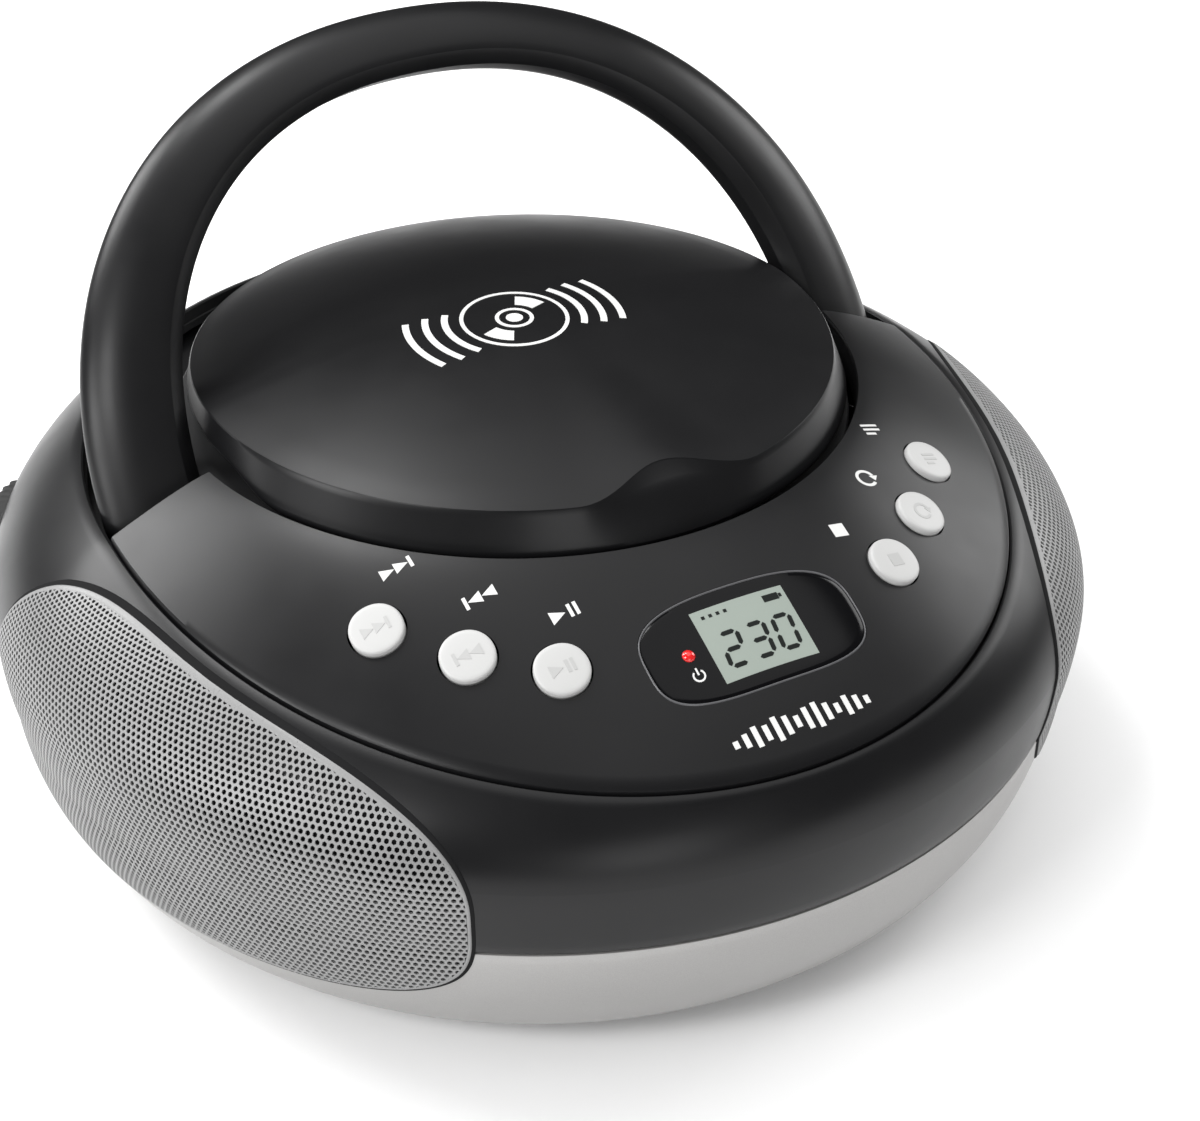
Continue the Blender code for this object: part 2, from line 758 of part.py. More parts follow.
def key_boards():
    """A small board with tact switches under each row of three keys."""
    for side, middle in (("left", "back"), ("right", "repeat")):
        x, y = BUTTON_XY[middle]
        frame = frame_at((x, y, console_z(x, y)), console_normal(x, y),
                         (1.0, math.copysign(0.92, x), 0.0))
        box("key_board_" + side, (-24.0, -6.0, -BOARD_DROP - 2.6), (24.0, 6.0, -BOARD_DROP - 1.0),
            circuit_board(), 0.2, frame)


def display():
    """Pill-shaped window flush with the console, the display under it and the power lamp."""
    outline = squircle(PILL_HALF_X, PILL_HALF_Y, 3.2, 32)

    def pill(bm, grow, low, high):
        loops = []
        for offset, scale in ((low, 0.5), (low, 1.0), (high, 1.0), (high, 0.5)):
            loop = []
            for u, v in outline:
                x = (u + math.copysign(grow, u)) * scale
                y = DISPLAY_Y + (v + math.copysign(grow, v)) * scale * 0.9
                loop.append((x, y, console_z(x, y) + offset))
            loops.append(loop)
        loft(bm, loops)

    bm = bmesh.new()
    pill(bm, 0.0, -1.5, 0.0)
    finish("display_window", bm, material("window_black", (0.01, 0.01, 0.012), 0.06))
    bm = bmesh.new()
    pill(bm, GAP, -8.0, 4.0)
    hole = finish("window_hole", bm, black_satin())
    frame = button_frame(0.0, DISPLAY_Y)
    glass = material("lcd_glass", (0.22, 0.26, 0.23), 0.25)
    box("lcd_module", (-LCD_X / 2 - 1.0, -LCD_Y / 2 - 1.0, -6.0),
        (LCD_X / 2 + 1.0, LCD_Y / 2 + 1.0, -3.1), glass, 0.2, frame)
    lamp = material("lamp_red", (0.75, 0.02, 0.02), 0.3)
    turned("power_led", rod_profile(1.5, -7.0, -3.4, 0.5), lamp,
           frame @ Matrix.Translation(Vector((LED_X, 0.0, 0.0))), 16, closed=False)
    return hole


def grille(side, mirror):
    bm = bmesh.new()
    grille_patch(bm, -GAP - 0.1, -0.6, GRILLE_PROUD, mirror)
    finish(side + "_grille", bm, material("grille_silver", (0.36, 0.36, 0.36), 0.4, 0.7))


def speaker(side, mirror):
    """A small driver behind each grille: basket, cone and magnet."""
    angle = math.radians(GRILLE_DEG if mirror > 0.0 else 540.0 - GRILLE_DEG)
    frame = radial_frame(angle, 100.0, SPEAKER_Z)
    basket = [(SPEAKER_R, 0.0), (SPEAKER_R, 1.2), (25.5, 1.2), (25.0, -1.0), (15.5, -13.0),
              (12.0, -13.0), (12.0, -14.2), (16.5, -14.2), (26.4, 0.0)]
    turned("speaker_basket_" + side, basket, steel(), frame)
    cone = [(0.0, -6.8), (6.0, -8.0), (7.5, -9.0), (20.0, -0.6), (22.6, 0.9), (24.9, 0.9),
            (24.6, 0.2), (22.8, 0.2), (20.6, -1.6), (7.9, -10.6), (7.0, -11.9), (0.0, -11.9)]
    turned("speaker_cone_" + side, cone, material("cone_paper", (0.02, 0.02, 0.02), 0.9), frame,
           closed=False)
    turned("speaker_magnet_" + side, rod_profile(18.0, -24.5, -14.6, 0.8), steel(), frame,
           closed=False)


def side_wheel(name, degrees):
    """Knurled thumbwheel that stands out of a slot in the waist."""
    angle = math.radians(degrees)
    centre = (WHEEL_SEAT_R * math.cos(angle), WHEEL_SEAT_R * math.sin(angle))
    teeth = 20
    bm = bmesh.new()
    loops = []
    for level, inset in ((WHEEL_Z[0], 0.6), (WHEEL_Z[0] + 0.6, 0.0),
                         (WHEEL_Z[1] - 0.6, 0.0), (WHEEL_Z[1], 0.6)):
        loop = []
        for index in range(2 * teeth):
            turn = math.pi * index / teeth
            radius = WHEEL_R - inset - (0.45 if index % 2 else 0.0)
            x = centre[0] + radius * math.cos(turn)
            y = centre[1] + radius * math.sin(turn)
            loop.append((x, y, level))
        loops.append(loop)
    loft(bm, loops)
    finish(name, bm, rubber_black(), pivot=(*centre, WHEEL_Z[0]))
    bm = bmesh.new()
    revolve(bm, rod_profile(WHEEL_R + 0.7, WHEEL_Z[0] - 0.7, WHEEL_Z[1] + 0.7, 0.01), 36, centre,
            closed=False)
    return finish(name + "_slot", bm, rubber_black())


def source_switch():
    """Three-way slide switch on the right flank: radio, disc or off."""
    frame = radial_frame(math.radians(SWITCH_DEG), body_radius(0.0, SWITCH_Z), SWITCH_Z)
    half = SWITCH_TRAVEL / 2.0 + 3.5
    bm = bmesh.new()
    prism(bm, squircle(half, 2.6, 6.0, 24), -9.0, 5.0, frame)
    slot = finish("switch_slot", bm, button_grey())
    box("source_switch", (-3.0, -1.9, -7.5), (3.0, 1.9, 1.6), button_grey(), 0.4, frame)
    return slot


# ---------------------------------------------------------------- disc drive


def disc_drive():
    """Chassis, spindle, turntable, pickup sled, lead screw and feed motor."""
    top = DRIVE_Z
    rail_y = RIM_Y - 64.0
    rail_z = top + 2.6
    at_disc = Matrix.Translation(Vector((0.0, RIM_Y, 0.0)))
    chassis = box("drive_chassis", (-28.0, rail_y + 0.1, top - 3.0), (28.0, RIM_Y + 24.0, top),
                  inner_plastic(), 0.5)
    cut(chassis, box("drive_window", (-17.5, RIM_Y - 61.0, top - 8.0),
                     (17.5, RIM_Y - 14.0, top + 4.0), inner_plastic()))
    cut(chassis, turned("spindle_hole", rod_profile(3.2, top - 8.0, top + 4.0, 0.01),
                        inner_plastic(), at_disc, closed=False))
    turned("spindle_motor", rod_profile(11.5, top - 14.0, top - 3.3, 0.6), steel(), at_disc,
           closed=False)
    rest = WELL_FLOOR_Z + 2.4
    table = [(0.0, top - 2.9), (1.0, top - 2.9), (1.0, rest - 2.0), (14.5, rest - 1.6),
             (14.5, rest), (7.4, rest), (7.0, rest + 2.0), (3.0, rest + 2.8), (0.0, rest + 2.8)]
    turned("turntable", table, inner_plastic(), at_disc, closed=False, pivot=(0.0, RIM_Y, top))
    for name, side, radius in (("guide_rod", -1.0, 1.5), ("lead_screw", 1.0, 1.8)):
        frame = frame_at((side * RAIL_X, rail_y, rail_z), (0.0, 1.0, 0.0))
        turned(name, rod_profile(radius, 0.0, RAIL_LENGTH), steel(), frame, 16, closed=False,
               pivot=(side * RAIL_X, rail_y, rail_z))
    sled = box("pickup_sled", (-16.5, SLED_Y - 5.0, top - 2.0), (16.5, SLED_Y + 5.0, top + 8.4),
               inner_plastic(), 0.4, pivot=(0.0, SLED_Y, rail_z))
    for name, side, radius in (("rod_bore", -1.0, 1.8), ("screw_bore", 1.0, 2.1)):
        frame = frame_at((side * RAIL_X, rail_y, rail_z), (0.0, 1.0, 0.0))
        cut(sled, turned(name, rod_profile(radius, -40.0, 60.0, 0.01), steel(), frame, 16,
                         closed=False))
    lens_at = Matrix.Translation(Vector((0.0, SLED_Y, 0.0)))
    join(sled, turned("pickup_lens", rod_profile(2.6, top + 7.0, top + 11.0), inner_plastic(),
                      lens_at, 16, closed=False))
    frame = frame_at((RAIL_X, rail_y - GAP, rail_z), (0.0, -1.0, 0.0))
    turned("feed_motor", rod_profile(5.6, 0.0, 5.0), steel(), frame, closed=False)


# ---------------------------------------------------------------- inside and underneath


def electronics():
    board_z = 42.0
    box("main_board", (-44.0, -78.0, board_z), (44.0, -8.0, board_z + 1.6), circuit_board(), 0.2)
    box("mains_transformer", (60.0, 26.0, 10.0), (86.0, 54.0, 38.0), steel(), 1.0)


def mains_inlet():
    """Two-pin mains inlet, set in its own hole low in the back."""
    angle = math.radians(INLET_DEG)
    frame = radial_frame(angle, body_radius(angle, INLET_Z), INLET_Z)
    half_x, half_z = 11.0, 7.0
    body = box("mains_inlet", (-half_x, -half_z, -20.0), (half_x, half_z, -0.8), inner_plastic(),
               0.4, frame)
    bm = bmesh.new()
    prism(bm, squircle(half_x * 0.65, half_z * 0.6, 3.0, 20), -14.0, 3.0, frame)
    cut(body, finish("inlet_bore", bm, inner_plastic()))
    return box("inlet_hole", (-half_x - GAP, -half_z - GAP, -26.0),
               (half_x + GAP, half_z + GAP, 6.0), inner_plastic(), 0.0, frame)


def battery_bay():
    """Open tray in the floor and its flap, which swings down about its rear edge."""
    low = (-56.0, 8.0, FLOOR_IN_Z + GAP)
    high = (56.0, 66.0, 36.0)
    tray = box("battery_tray", low, high, inner_plastic())
    hollow = box("tray_hollow", (low[0] + 2.0, low[1] + 2.0, 0.0),
                 (high[0] - 2.0, high[1] - 2.0, high[2] - 2.0), inner_plastic())
    cut(tray, hollow)
    box("battery_door", (low[0] + 3.0, low[1] + 3.0, BASE_Z),
        (high[0] - 3.0, high[1] - 3.0, FLOOR_IN_Z), silver_satin(), 0.3,
        pivot=(0.0, high[1] - 3.0, BASE_Z))
    return box("bay_hole", (low[0] + 2.6, low[1] + 2.6, 0.0), (high[0] - 2.6, high[1] - 2.6, 8.0),
               silver_satin())


def feet():
    for index, degrees in enumerate((40.0, 140.0, 220.0, 320.0), 1):
        angle = math.radians(degrees)
        at = Matrix.Translation(Vector(polar(angle, 86.0, 0.0)))
        turned("foot_{}".format(index), rod_profile(7.0, 0.0, BASE_Z - GAP, 0.6), rubber_black(),
               at, closed=False)


def case_screws():
    """Four long screws that hold the two shells together, and their holes in the floor."""
    holes = []
    for index, degrees in enumerate(SCREW_DEGS, 1):
        angle = math.radians(degrees)
        at = Matrix.Translation(Vector(polar(angle, SCREW_RING_R, 0.0)))
        turned("case_screw_{}".format(index), rod_profile(2.6, FLOOR_IN_Z + GAP, 30.0, 0.4),
               steel(), at, 12, closed=False)
        holes.append(turned("screw_hole_{}".format(index), rod_profile(3.4, 0.0, 8.0, 0.01),
                            steel(), at, 12, closed=False))
    return holes


def antenna():
    """Telescopic antenna on a turning knuckle, folded flat across the back."""
    x_low, x_high = ANTENNA_X
    at = Matrix.Translation(Vector((x_low, ANTENNA_Y, 0.0)))
    pivot = (x_low, ANTENNA_Y, ANTENNA_Z)
    knuckle = turned("antenna_knuckle",
                     rod_profile(KNUCKLE_R, FACET_LOW_Z + 0.4, ANTENNA_Z + 3.4),
                     inner_plastic(), at, closed=False, pivot=pivot)
    slot = box("knuckle_slot", (x_low - 9.0, ANTENNA_Y - 1.9, ANTENNA_Z - 3.4),
               (x_low + 9.0, ANTENNA_Y + 1.9, ANTENNA_Z + 9.0), inner_plastic())
    cut(knuckle, slot)
    frame = frame_at((x_low, ANTENNA_Y, ANTENNA_Z), (1.0, 0.0, 0.0), (0.0, 1.0, 0.0))
    length = x_high - x_low
    eye = box("antenna_outer", (-1.5, -1.5, -2.4), (1.5, 1.5, 7.5), steel(), 0.3, frame,
              pivot=pivot)
    join(eye, turned("antenna_barrel", rod_profile(ANTENNA_R[0], 5.2, length - 3.0), steel(), frame,
                     12, closed=False))
    cut(eye, turned("antenna_bore", rod_profile(ANTENNA_R[1] + GAP, 9.0, length + 9.0, 0.01),
                    steel(), frame, 12, closed=False))
    middle = turned("antenna_middle", rod_profile(ANTENNA_R[1], 9.6, length - 1.5), steel(), frame,
                    12, closed=False, pivot=pivot)
    cut(middle, turned("middle_bore", rod_profile(ANTENNA_R[2] + GAP, 12.0, length + 9.0, 0.01),
                       steel(), frame, 12, closed=False))
    turned("antenna_tip", [(0.0, 12.6), (ANTENNA_R[2], 12.9), (ANTENNA_R[2], length - 1.0),
                           (ANTENNA_R[0], length - 0.6), (ANTENNA_R[0], length + 1.6),
                           (ANTENNA_R[0] - 1.0, length + 2.6), (0.0, length + 2.6)],
           steel(), frame, 12, closed=False, pivot=pivot)


def main():
    clear_scene()
    cutters = [grille_cutter("left", 1.0), grille_cutter("right", -1.0)]
    slots = [side_wheel("volume_wheel", WHEEL_DEG), side_wheel("tuning_wheel", 180.0 - WHEEL_DEG)]
    lower_shell(cutters + case_screws() + [mains_inlet(), battery_bay()])
    upper_shell(cutters + slots + [source_switch()])
    console_panel(buttons() + [display()])
    key_boards()
    handle_channel()
    well = disc_well()
    lid_hub = empty_at("lid_hinge", (0.0, HINGE_Y, HINGE_Z))
    lid(lid_hub)
    lid_clamp(lid_hub)
    lid_hinges()
    trough = handle(empty_at("handle_hinge", (0.0, PIVOT_Y, PIVOT_Z)))
    handle_pins(trough, well)
    for side, mirror in (("left", 1.0), ("right", -1.0)):
        grille(side, mirror)
        speaker(side, mirror)
    disc_drive()
    electronics()
    feet()
    antenna()


if __name__ == "__main__":
    main()
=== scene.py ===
"""Looks of a round portable disc player and radio with a folding carrying handle."""

import math

import bpy
from mathutils import Matrix, Vector


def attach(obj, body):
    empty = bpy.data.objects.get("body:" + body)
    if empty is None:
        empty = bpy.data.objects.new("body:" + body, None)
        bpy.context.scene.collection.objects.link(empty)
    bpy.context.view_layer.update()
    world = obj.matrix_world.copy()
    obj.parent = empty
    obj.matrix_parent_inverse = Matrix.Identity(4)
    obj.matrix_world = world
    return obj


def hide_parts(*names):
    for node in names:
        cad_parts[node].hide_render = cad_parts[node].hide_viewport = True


bl_info = {
    "name": "Round disc player",
    "version": (1, 0, 0),
    "blender": (4, 5, 0),
    "location": "View3D > Sidebar > Disc player",
    "description": "Builds the visible pieces of a round disc player around its packed frame",
    "category": "Add Mesh",
}

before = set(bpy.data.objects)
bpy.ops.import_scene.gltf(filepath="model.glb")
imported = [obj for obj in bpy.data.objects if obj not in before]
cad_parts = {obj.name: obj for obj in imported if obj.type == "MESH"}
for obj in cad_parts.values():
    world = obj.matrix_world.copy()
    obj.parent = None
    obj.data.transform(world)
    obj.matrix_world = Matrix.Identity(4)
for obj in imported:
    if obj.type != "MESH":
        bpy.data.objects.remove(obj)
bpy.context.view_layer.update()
MM = 0.001
FULL_TURN = 2.0 * math.pi
ALMOST_FULL = 6.28
MERGE_DISTANCE = 0.000004

# Ball, seam and split line, in millimetres.
BODY_R = 119.5
EQUATOR_Z = 50.0
SPLIT_Z = 35.5
BASE_R = 99.0
BASE_Z = 3.0
FLOOR_IN_Z = 5.5
LOWER_SAG = 90.0
WALL = 2.5
SEAM_A = 97.5
SEAM_FRONT = 113.0
SEAM_REAR = 108.0
SEAM_SIDE_Z = 77.0
SEAM_FRONT_DROP = 12.5
SEAM_REAR_DROP = 4.0
SEAM_POWER = 1.2
FACET_Y = 110.3
FACET_LOW_Z = 51.5

# Disc well and lid.
RIM_R = 75.0
RIM_Y = 11.0
RIM_Z = 87.0
WELL_R = 73.8
LEDGE_Z = 81.0
WELL_FLOOR_Z = 76.0
RECESS_R = 62.5
CHANNEL_Z = 66.3
LID_R = 70.6
SKIRT_Z = 87.4
CREASE_Z = 93.6
LID_TOP_Z = 102.5
NOTCH_HALF_DEG = 17.0
NOTCH_DEPTH = 7.0
HINGE_Y = 77.5
HINGE_Z = 84.6
LUG_X = 21.0
LID_REAR_FALL = 3.6
LID_FRONT_REACH = 2.3
LID_FRONT_DROP = 2.7

# Handle.
PIVOT_Y = 9.1
PIVOT_Z = 74.9
LEAN_DEG = 37.6
PIN_HOLE_X = 70.0
PIN_HOLE_R = 2.85
HANDLE_TOP = 8.0
HANDLE_LOW = -2.0
FOOT_SHARE = 0.06
FOOT_MIDDLE = 84.55
FOOT_HALF = 10.35
FOOT_DEPTH = 8.5
ARCH_IN = (74.2, 78.2, 2.24)
ARCH_OUT = (94.9, 94.5, 2.15)

# Keys and display.
KEYS = {
    "play": (-37.0, -80.0),
    "back": (-51.0, -69.6),
    "next": (-63.0, -56.0),
    "stop": (37.0, -80.0),
    "repeat": (51.0, -69.6),
    "program": (63.0, -56.0),
}
KEY_HALF = 5.3
KEY_GAP = 0.45
PRINT_LIFT = 0.06
KEY_SIGN_SCALE = 1.15
DISC_SIGN_SCALE = 1.22
DISPLAY_Y = -87.0
PILL_X = 22.8
PILL_Y = 10.9
LCD_X = 20.4
LCD_Y = 16.0
LAMP_X = -14.3

# Grilles.
GRILLE_DEG = 205.5
GRILLE_HALF_DEG = 31.0
GRILLE_LOW_Z = 19.0
GRILLE_TOP_DROP = 1.3
GRILLE_POWER = 3.4
GRILLE_RISE = 1.0
GRILLE_THICK = 0.45
GRILLE_RIM_FALL = 0.45
GRILLE_CEILING_Z = 76.5
MERIDIAN_LOW_Z = 8.0
MERIDIAN_STEP = 0.2
MERIDIAN_COUNT = 340

# Side wheels, switch, inlet and antenna.
WHEEL_DEG = 151.0
WHEEL_SEAT_R = 108.5
WHEEL_R = 13.0
WHEEL_Z = (48.0, 57.5)
SWITCH_DEG = 12.0
SWITCH_Z = 62.0
INLET_DEG = 62.0
INLET_Z = 22.0
ANTENNA_Y = 114.2
ANTENNA_Z = 56.8
ANTENNA_X = (-30.0, 52.0)
SCREWS = (18.0, 162.0, 240.0, 300.0)
SCREW_RING_R = 74.0
FEET = (40.0, 140.0, 220.0, 320.0)
FOOT_RING_R = 86.0
SLOT_GAP = 0.7


# ---------------------------------------------------------------- settings


class PlayerFinishes(bpy.types.PropertyGroup):
    """Colours and gloss of the player's plastics."""

    shell_colour: bpy.props.FloatVectorProperty(
        name="Shell", description="Black of the case, lid and handle", subtype="COLOR",
        size=3, min=0.0, max=1.0, default=(0.0062, 0.0062, 0.0068))
    shell_roughness: bpy.props.FloatProperty(
        name="Shell roughness", description="Satin of the black plastic", subtype="FACTOR",
        min=0.0, max=1.0, default=0.34)
    bowl_colour: bpy.props.FloatVectorProperty(
        name="Bowl", description="Silver-grey of the lower shell", subtype="COLOR",
        size=3, min=0.0, max=1.0, default=(0.33, 0.325, 0.32))
    grille_colour: bpy.props.FloatVectorProperty(
        name="Grilles", description="Silver of the speaker grilles", subtype="COLOR",
        size=3, min=0.0, max=1.0, default=(0.235, 0.235, 0.235))
    key_colour: bpy.props.FloatVectorProperty(
        name="Keys", description="Light grey of the keys", subtype="COLOR",
        size=3, min=0.0, max=1.0, default=(0.44, 0.44, 0.435))
    print_colour: bpy.props.FloatVectorProperty(
        name="Print", description="White of the printed signs", subtype="COLOR",
        size=3, min=0.0, max=1.0, default=(0.62, 0.62, 0.61))


class PlayerSizes(bpy.types.PropertyGroup):
    """Sizes of the small details that the frame leaves open."""

    hole_pitch: bpy.props.FloatProperty(
        name="Hole pitch", description="Distance between the grille's holes",
        subtype="DISTANCE", unit="LENGTH", min=0.0012, max=0.004, default=0.00142)
    hole_bar: bpy.props.FloatProperty(
        name="Hole bar", description="Half the metal left between two holes",
        subtype="DISTANCE", unit="LENGTH", min=0.0001, max=0.0008, default=0.00026)
    wheel_teeth: bpy.props.IntProperty(
        name="Wheel teeth", description="Ridges round each thumbwheel", min=8, max=80, default=30)


class PlayerStage(bpy.types.PropertyGroup):
    """Camera and light of the studio."""

    azimuth: bpy.props.FloatProperty(
        name="Azimuth", description="Direction the camera looks from", subtype="ANGLE",
        default=math.radians(-27.99))
    elevation: bpy.props.FloatProperty(
        name="Elevation", description="Height of the camera as an angle", subtype="ANGLE",
        default=math.radians(33.65))
    distance: bpy.props.FloatProperty(
        name="Distance", description="Distance from the camera to the player",
        subtype="DISTANCE", unit="LENGTH", min=0.2, max=3.0, default=0.46)
    key_power: bpy.props.FloatProperty(
        name="Key light", description="Power of the big soft light", unit="POWER",
        min=0.0, max=200.0, default=9.0)


# ---------------------------------------------------------------- working with pieces


def deselect():
    """Leave every object unselected, in object mode."""
    if bpy.context.object and bpy.context.object.mode != "OBJECT":
        bpy.ops.object.mode_set(mode="OBJECT")
    bpy.ops.object.select_all(action="DESELECT")


def activate(piece):
    """Make a piece the only selected one."""
    deselect()
    bpy.context.view_layer.objects.active = piece
    piece.select_set(True)


def edit(piece):
    """Open a piece in edit mode with everything selected."""
    activate(piece)
    bpy.ops.object.mode_set(mode="EDIT")
    bpy.ops.mesh.select_mode(type="VERT")
    bpy.ops.mesh.select_all(action="SELECT")


def leave_edit():
    """Go back to object mode."""
    bpy.ops.object.mode_set(mode="OBJECT")


def face_outwards():
    """Select everything, turn its faces outwards and leave edit mode."""
    bpy.ops.mesh.select_all(action="SELECT")
    bpy.ops.mesh.normals_make_consistent(inside=False)
    leave_edit()


def close_up(piece):
    """Merge doubled points and turn the faces outwards."""
    edit(piece)
    bpy.ops.mesh.remove_doubles(threshold=MERGE_DISTANCE)
    bpy.ops.mesh.delete_loose(use_verts=True, use_edges=True, use_faces=False)
    face_outwards()


def sheet_of(name, columns, rows, place):
    """A grid whose points stand where place(u, v) says, with u and v running from 0 to 1."""
    deselect()
    bpy.ops.mesh.primitive_grid_add(x_subdivisions=columns, y_subdivisions=rows, size=1.0,
                                    location=(0.0, 0.0, 0.0))
    piece = bpy.context.object
    piece.name = name
    piece.data.name = name
    for vert in piece.data.vertices:
        vert.co = Vector(place(vert.co.x + 0.5, vert.co.y + 0.5)) * MM
    return piece


def ring_of(name, steps, section, start=0.0, end=FULL_TURN):
    """A closed skin: section(angle) gives the closed loop of points at each angle."""
    loops = {}
    whole = end - start > ALMOST_FULL

    def place(u, v):
        column = round(u * steps)
        if whole and column == steps:
            column = 0
        if column not in loops:
            loops[column] = section(start + (end - start) * column / steps)
        loop = loops[column]
        return loop[round(v * len(loop)) % len(loop)]

    piece = sheet_of(name, steps, len(section(start)), place)
    close_up(piece)
    if not whole:
        edit(piece)
        bpy.ops.mesh.select_all(action="DESELECT")
        bpy.ops.mesh.select_mode(type="EDGE")
        bpy.ops.mesh.select_non_manifold()
        bpy.ops.mesh.fill_holes(sides=0)
        face_outwards()
    return piece


def turned(name, profile, steps=96, centre=(0.0, 0.0), place=None):
    """Spin an (r, z) profile in millimetres about a vertical axis, then place it."""
    deselect()
    bpy.ops.mesh.primitive_plane_add(size=0.001, location=(0.0, 0.0, 0.0))
    piece = bpy.context.object
    piece.name = name
    piece.data.name = name
    edit(piece)
    bpy.ops.mesh.merge(type="CENTER")
    first = Vector((profile[0][0], 0.0, profile[0][1])) * MM
    bpy.ops.transform.translate(value=first)
    at = profile[0]
    for point in profile[1:]:
        step = Vector((point[0] - at[0], 0.0, point[1] - at[1])) * MM
        bpy.ops.mesh.extrude_vertices_move(TRANSFORM_OT_translate={"value": step})
        at = point
    bpy.ops.mesh.select_all(action="SELECT")
    bpy.ops.mesh.spin(steps=steps, angle=FULL_TURN, center=(0.0, 0.0, 0.0),
                      axis=(0.0, 0.0, 1.0))
    leave_edit()
    close_up(piece)
    if place:
        piece.data.transform(millimetre_matrix(place))
    else:
        piece.data.transform(Matrix.Translation(Vector((centre[0], centre[1], 0.0)) * MM))
    return piece


def millimetre_matrix(matrix):
    """A millimetre frame as a metre frame."""
    scaled = matrix.copy()
    scaled.translation = matrix.translation * MM
    return scaled


def block(name, low, high, place=None, bevel=0.0, segments=3):
    """A block between two corners in millimetres, with rounded edges."""
    deselect()
    size = [high[axis] - low[axis] for axis in range(3)]
    middle = [(high[axis] + low[axis]) / 2.0 for axis in range(3)]
    bpy.ops.mesh.primitive_cube_add(size=1.0, location=(0.0, 0.0, 0.0))
    piece = bpy.context.object
    piece.name = name
    piece.data.name = name
    edit(piece)
    bpy.ops.transform.resize(value=[part * MM for part in size])
    bpy.ops.transform.translate(value=[part * MM for part in middle])
    if bevel:
        bpy.ops.mesh.bevel(offset=bevel * MM, segments=segments, affect="EDGES")
    leave_edit()
    if place:
        piece.data.transform(millimetre_matrix(place))
    return piece


def apply(piece, kind, **settings):
    """Add one modifier and apply it."""
    modifier = piece.modifiers.new(kind.lower(), kind)
    for key, value in settings.items():
        setattr(modifier, key, value)
    activate(piece)
    bpy.ops.object.modifier_apply(modifier=modifier.name)


def cut(piece, cutters):
    """Cut each cutter out of a piece and throw the cutters away."""
    for cutter in cutters:
        apply(piece, "BOOLEAN", operation="DIFFERENCE", solver="EXACT", object=cutter)
        bpy.data.objects.remove(cutter, do_unlink=True)


def join(name, parts):
    """Join loose parts into one piece."""
    deselect()
    for part in parts:
        part.select_set(True)
    bpy.context.view_layer.objects.active = parts[0]
    if len(parts) > 1:
        bpy.ops.object.join()
    parts[0].name = name
    parts[0].data.name = name
    return parts[0]


def seat(piece, body, slot, finish, *nodes, angle=35.0):
    """Shade, paint and mount a finished piece, in place of its frame nodes."""
    activate(piece)
    bpy.ops.object.shade_smooth_by_angle(angle=math.radians(angle))
    piece.data.materials.clear()
    piece.data.materials.append(finish)
    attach(piece, body)
    if nodes:
        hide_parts(*nodes)
    return piece


def frame_at(point, z_axis, x_hint=(1.0, 0.0, 0.0)):
    """A frame at a point, with its z axis given and its x axis near the hint."""
    z_axis = Vector(z_axis).normalized()
    y_axis = z_axis.cross(Vector(x_hint)).normalized()
    x_axis = y_axis.cross(z_axis)
    turn = Matrix((x_axis, y_axis, z_axis)).transposed()
    return Matrix.Translation(Vector(point)) @ turn.to_4x4()


def sideways(side, x, y, z):
    """A frame whose z axis points left (side -1) or right (side 1)."""
    return frame_at((side * x, y, z), (side, 0.0, 0.0), (0.0, 1.0, 0.0))


# ---------------------------------------------------------------- the player's surfaces


def polar(angle, radius, height):
    """A point at an angle round the body's upright axis."""
    return (radius * math.cos(angle), radius * math.sin(angle), height)


def plan_point(degrees, radius):
    """Plan point at an angle in degrees."""
    return polar(math.radians(degrees), radius, 0.0)[:2]


def seam_radius(angle):
    """Plan radius of the seam round the console."""
    depth = SEAM_FRONT if math.sin(angle) < 0.0 else SEAM_REAR
    return SEAM_A * depth / math.hypot(depth * math.cos(angle), SEAM_A * math.sin(angle))


def seam_z(angle):
    """Height of the seam round the console."""
    s = math.sin(angle)
    drop = SEAM_FRONT_DROP if s < 0.0 else SEAM_REAR_DROP
    return SEAM_SIDE_Z - drop * abs(s) ** SEAM_POWER


def body_radius(angle, height):
    """Outer radius of the ball at an angle and a height."""
    if height < SPLIT_Z:
        rise = (SPLIT_Z - height) / (SPLIT_Z - BASE_Z)
        waist = BODY_R * math.sqrt(1.0 - ((EQUATOR_Z - SPLIT_Z) / LOWER_SAG) ** 2)
        return BASE_R + (waist - BASE_R) * math.sqrt(max(0.0, 1.0 - rise * rise))
    if height < EQUATOR_Z:
        return BODY_R * math.sqrt(1.0 - ((EQUATOR_Z - height) / LOWER_SAG) ** 2)
    reach = (seam_z(angle) - EQUATOR_Z) / math.sqrt(1.0 - (seam_radius(angle) / BODY_R) ** 2)
    return BODY_R * math.sqrt(max(0.0, 1.0 - ((height - EQUATOR_Z) / reach) ** 2))


def faceted_radius(angle, height):
    """The ball's radius with the antenna's flat facet pressed into the back."""
    radius = body_radius(angle, height)
    if math.sin(angle) > 0.5 and height > FACET_LOW_Z:
        radius = min(radius, FACET_Y / math.sin(angle))
    return radius


def rim_radius(angle):
    """Distance from the body's centre to the rim of the disc well."""
    return RIM_Y * math.sin(angle) + math.sqrt(RIM_R ** 2 - (RIM_Y * math.cos(angle)) ** 2)


def console_z(x, y):
    """Height of the console's top face at a plan point."""
    angle = math.atan2(min(y, -0.001), x)
    inner, outer = rim_radius(angle), seam_radius(angle)
    share = (math.hypot(x, y) - inner) / (outer - inner)
    return RIM_Z - (RIM_Z - seam_z(angle)) * max(0.0, share) ** SEAM_POWER


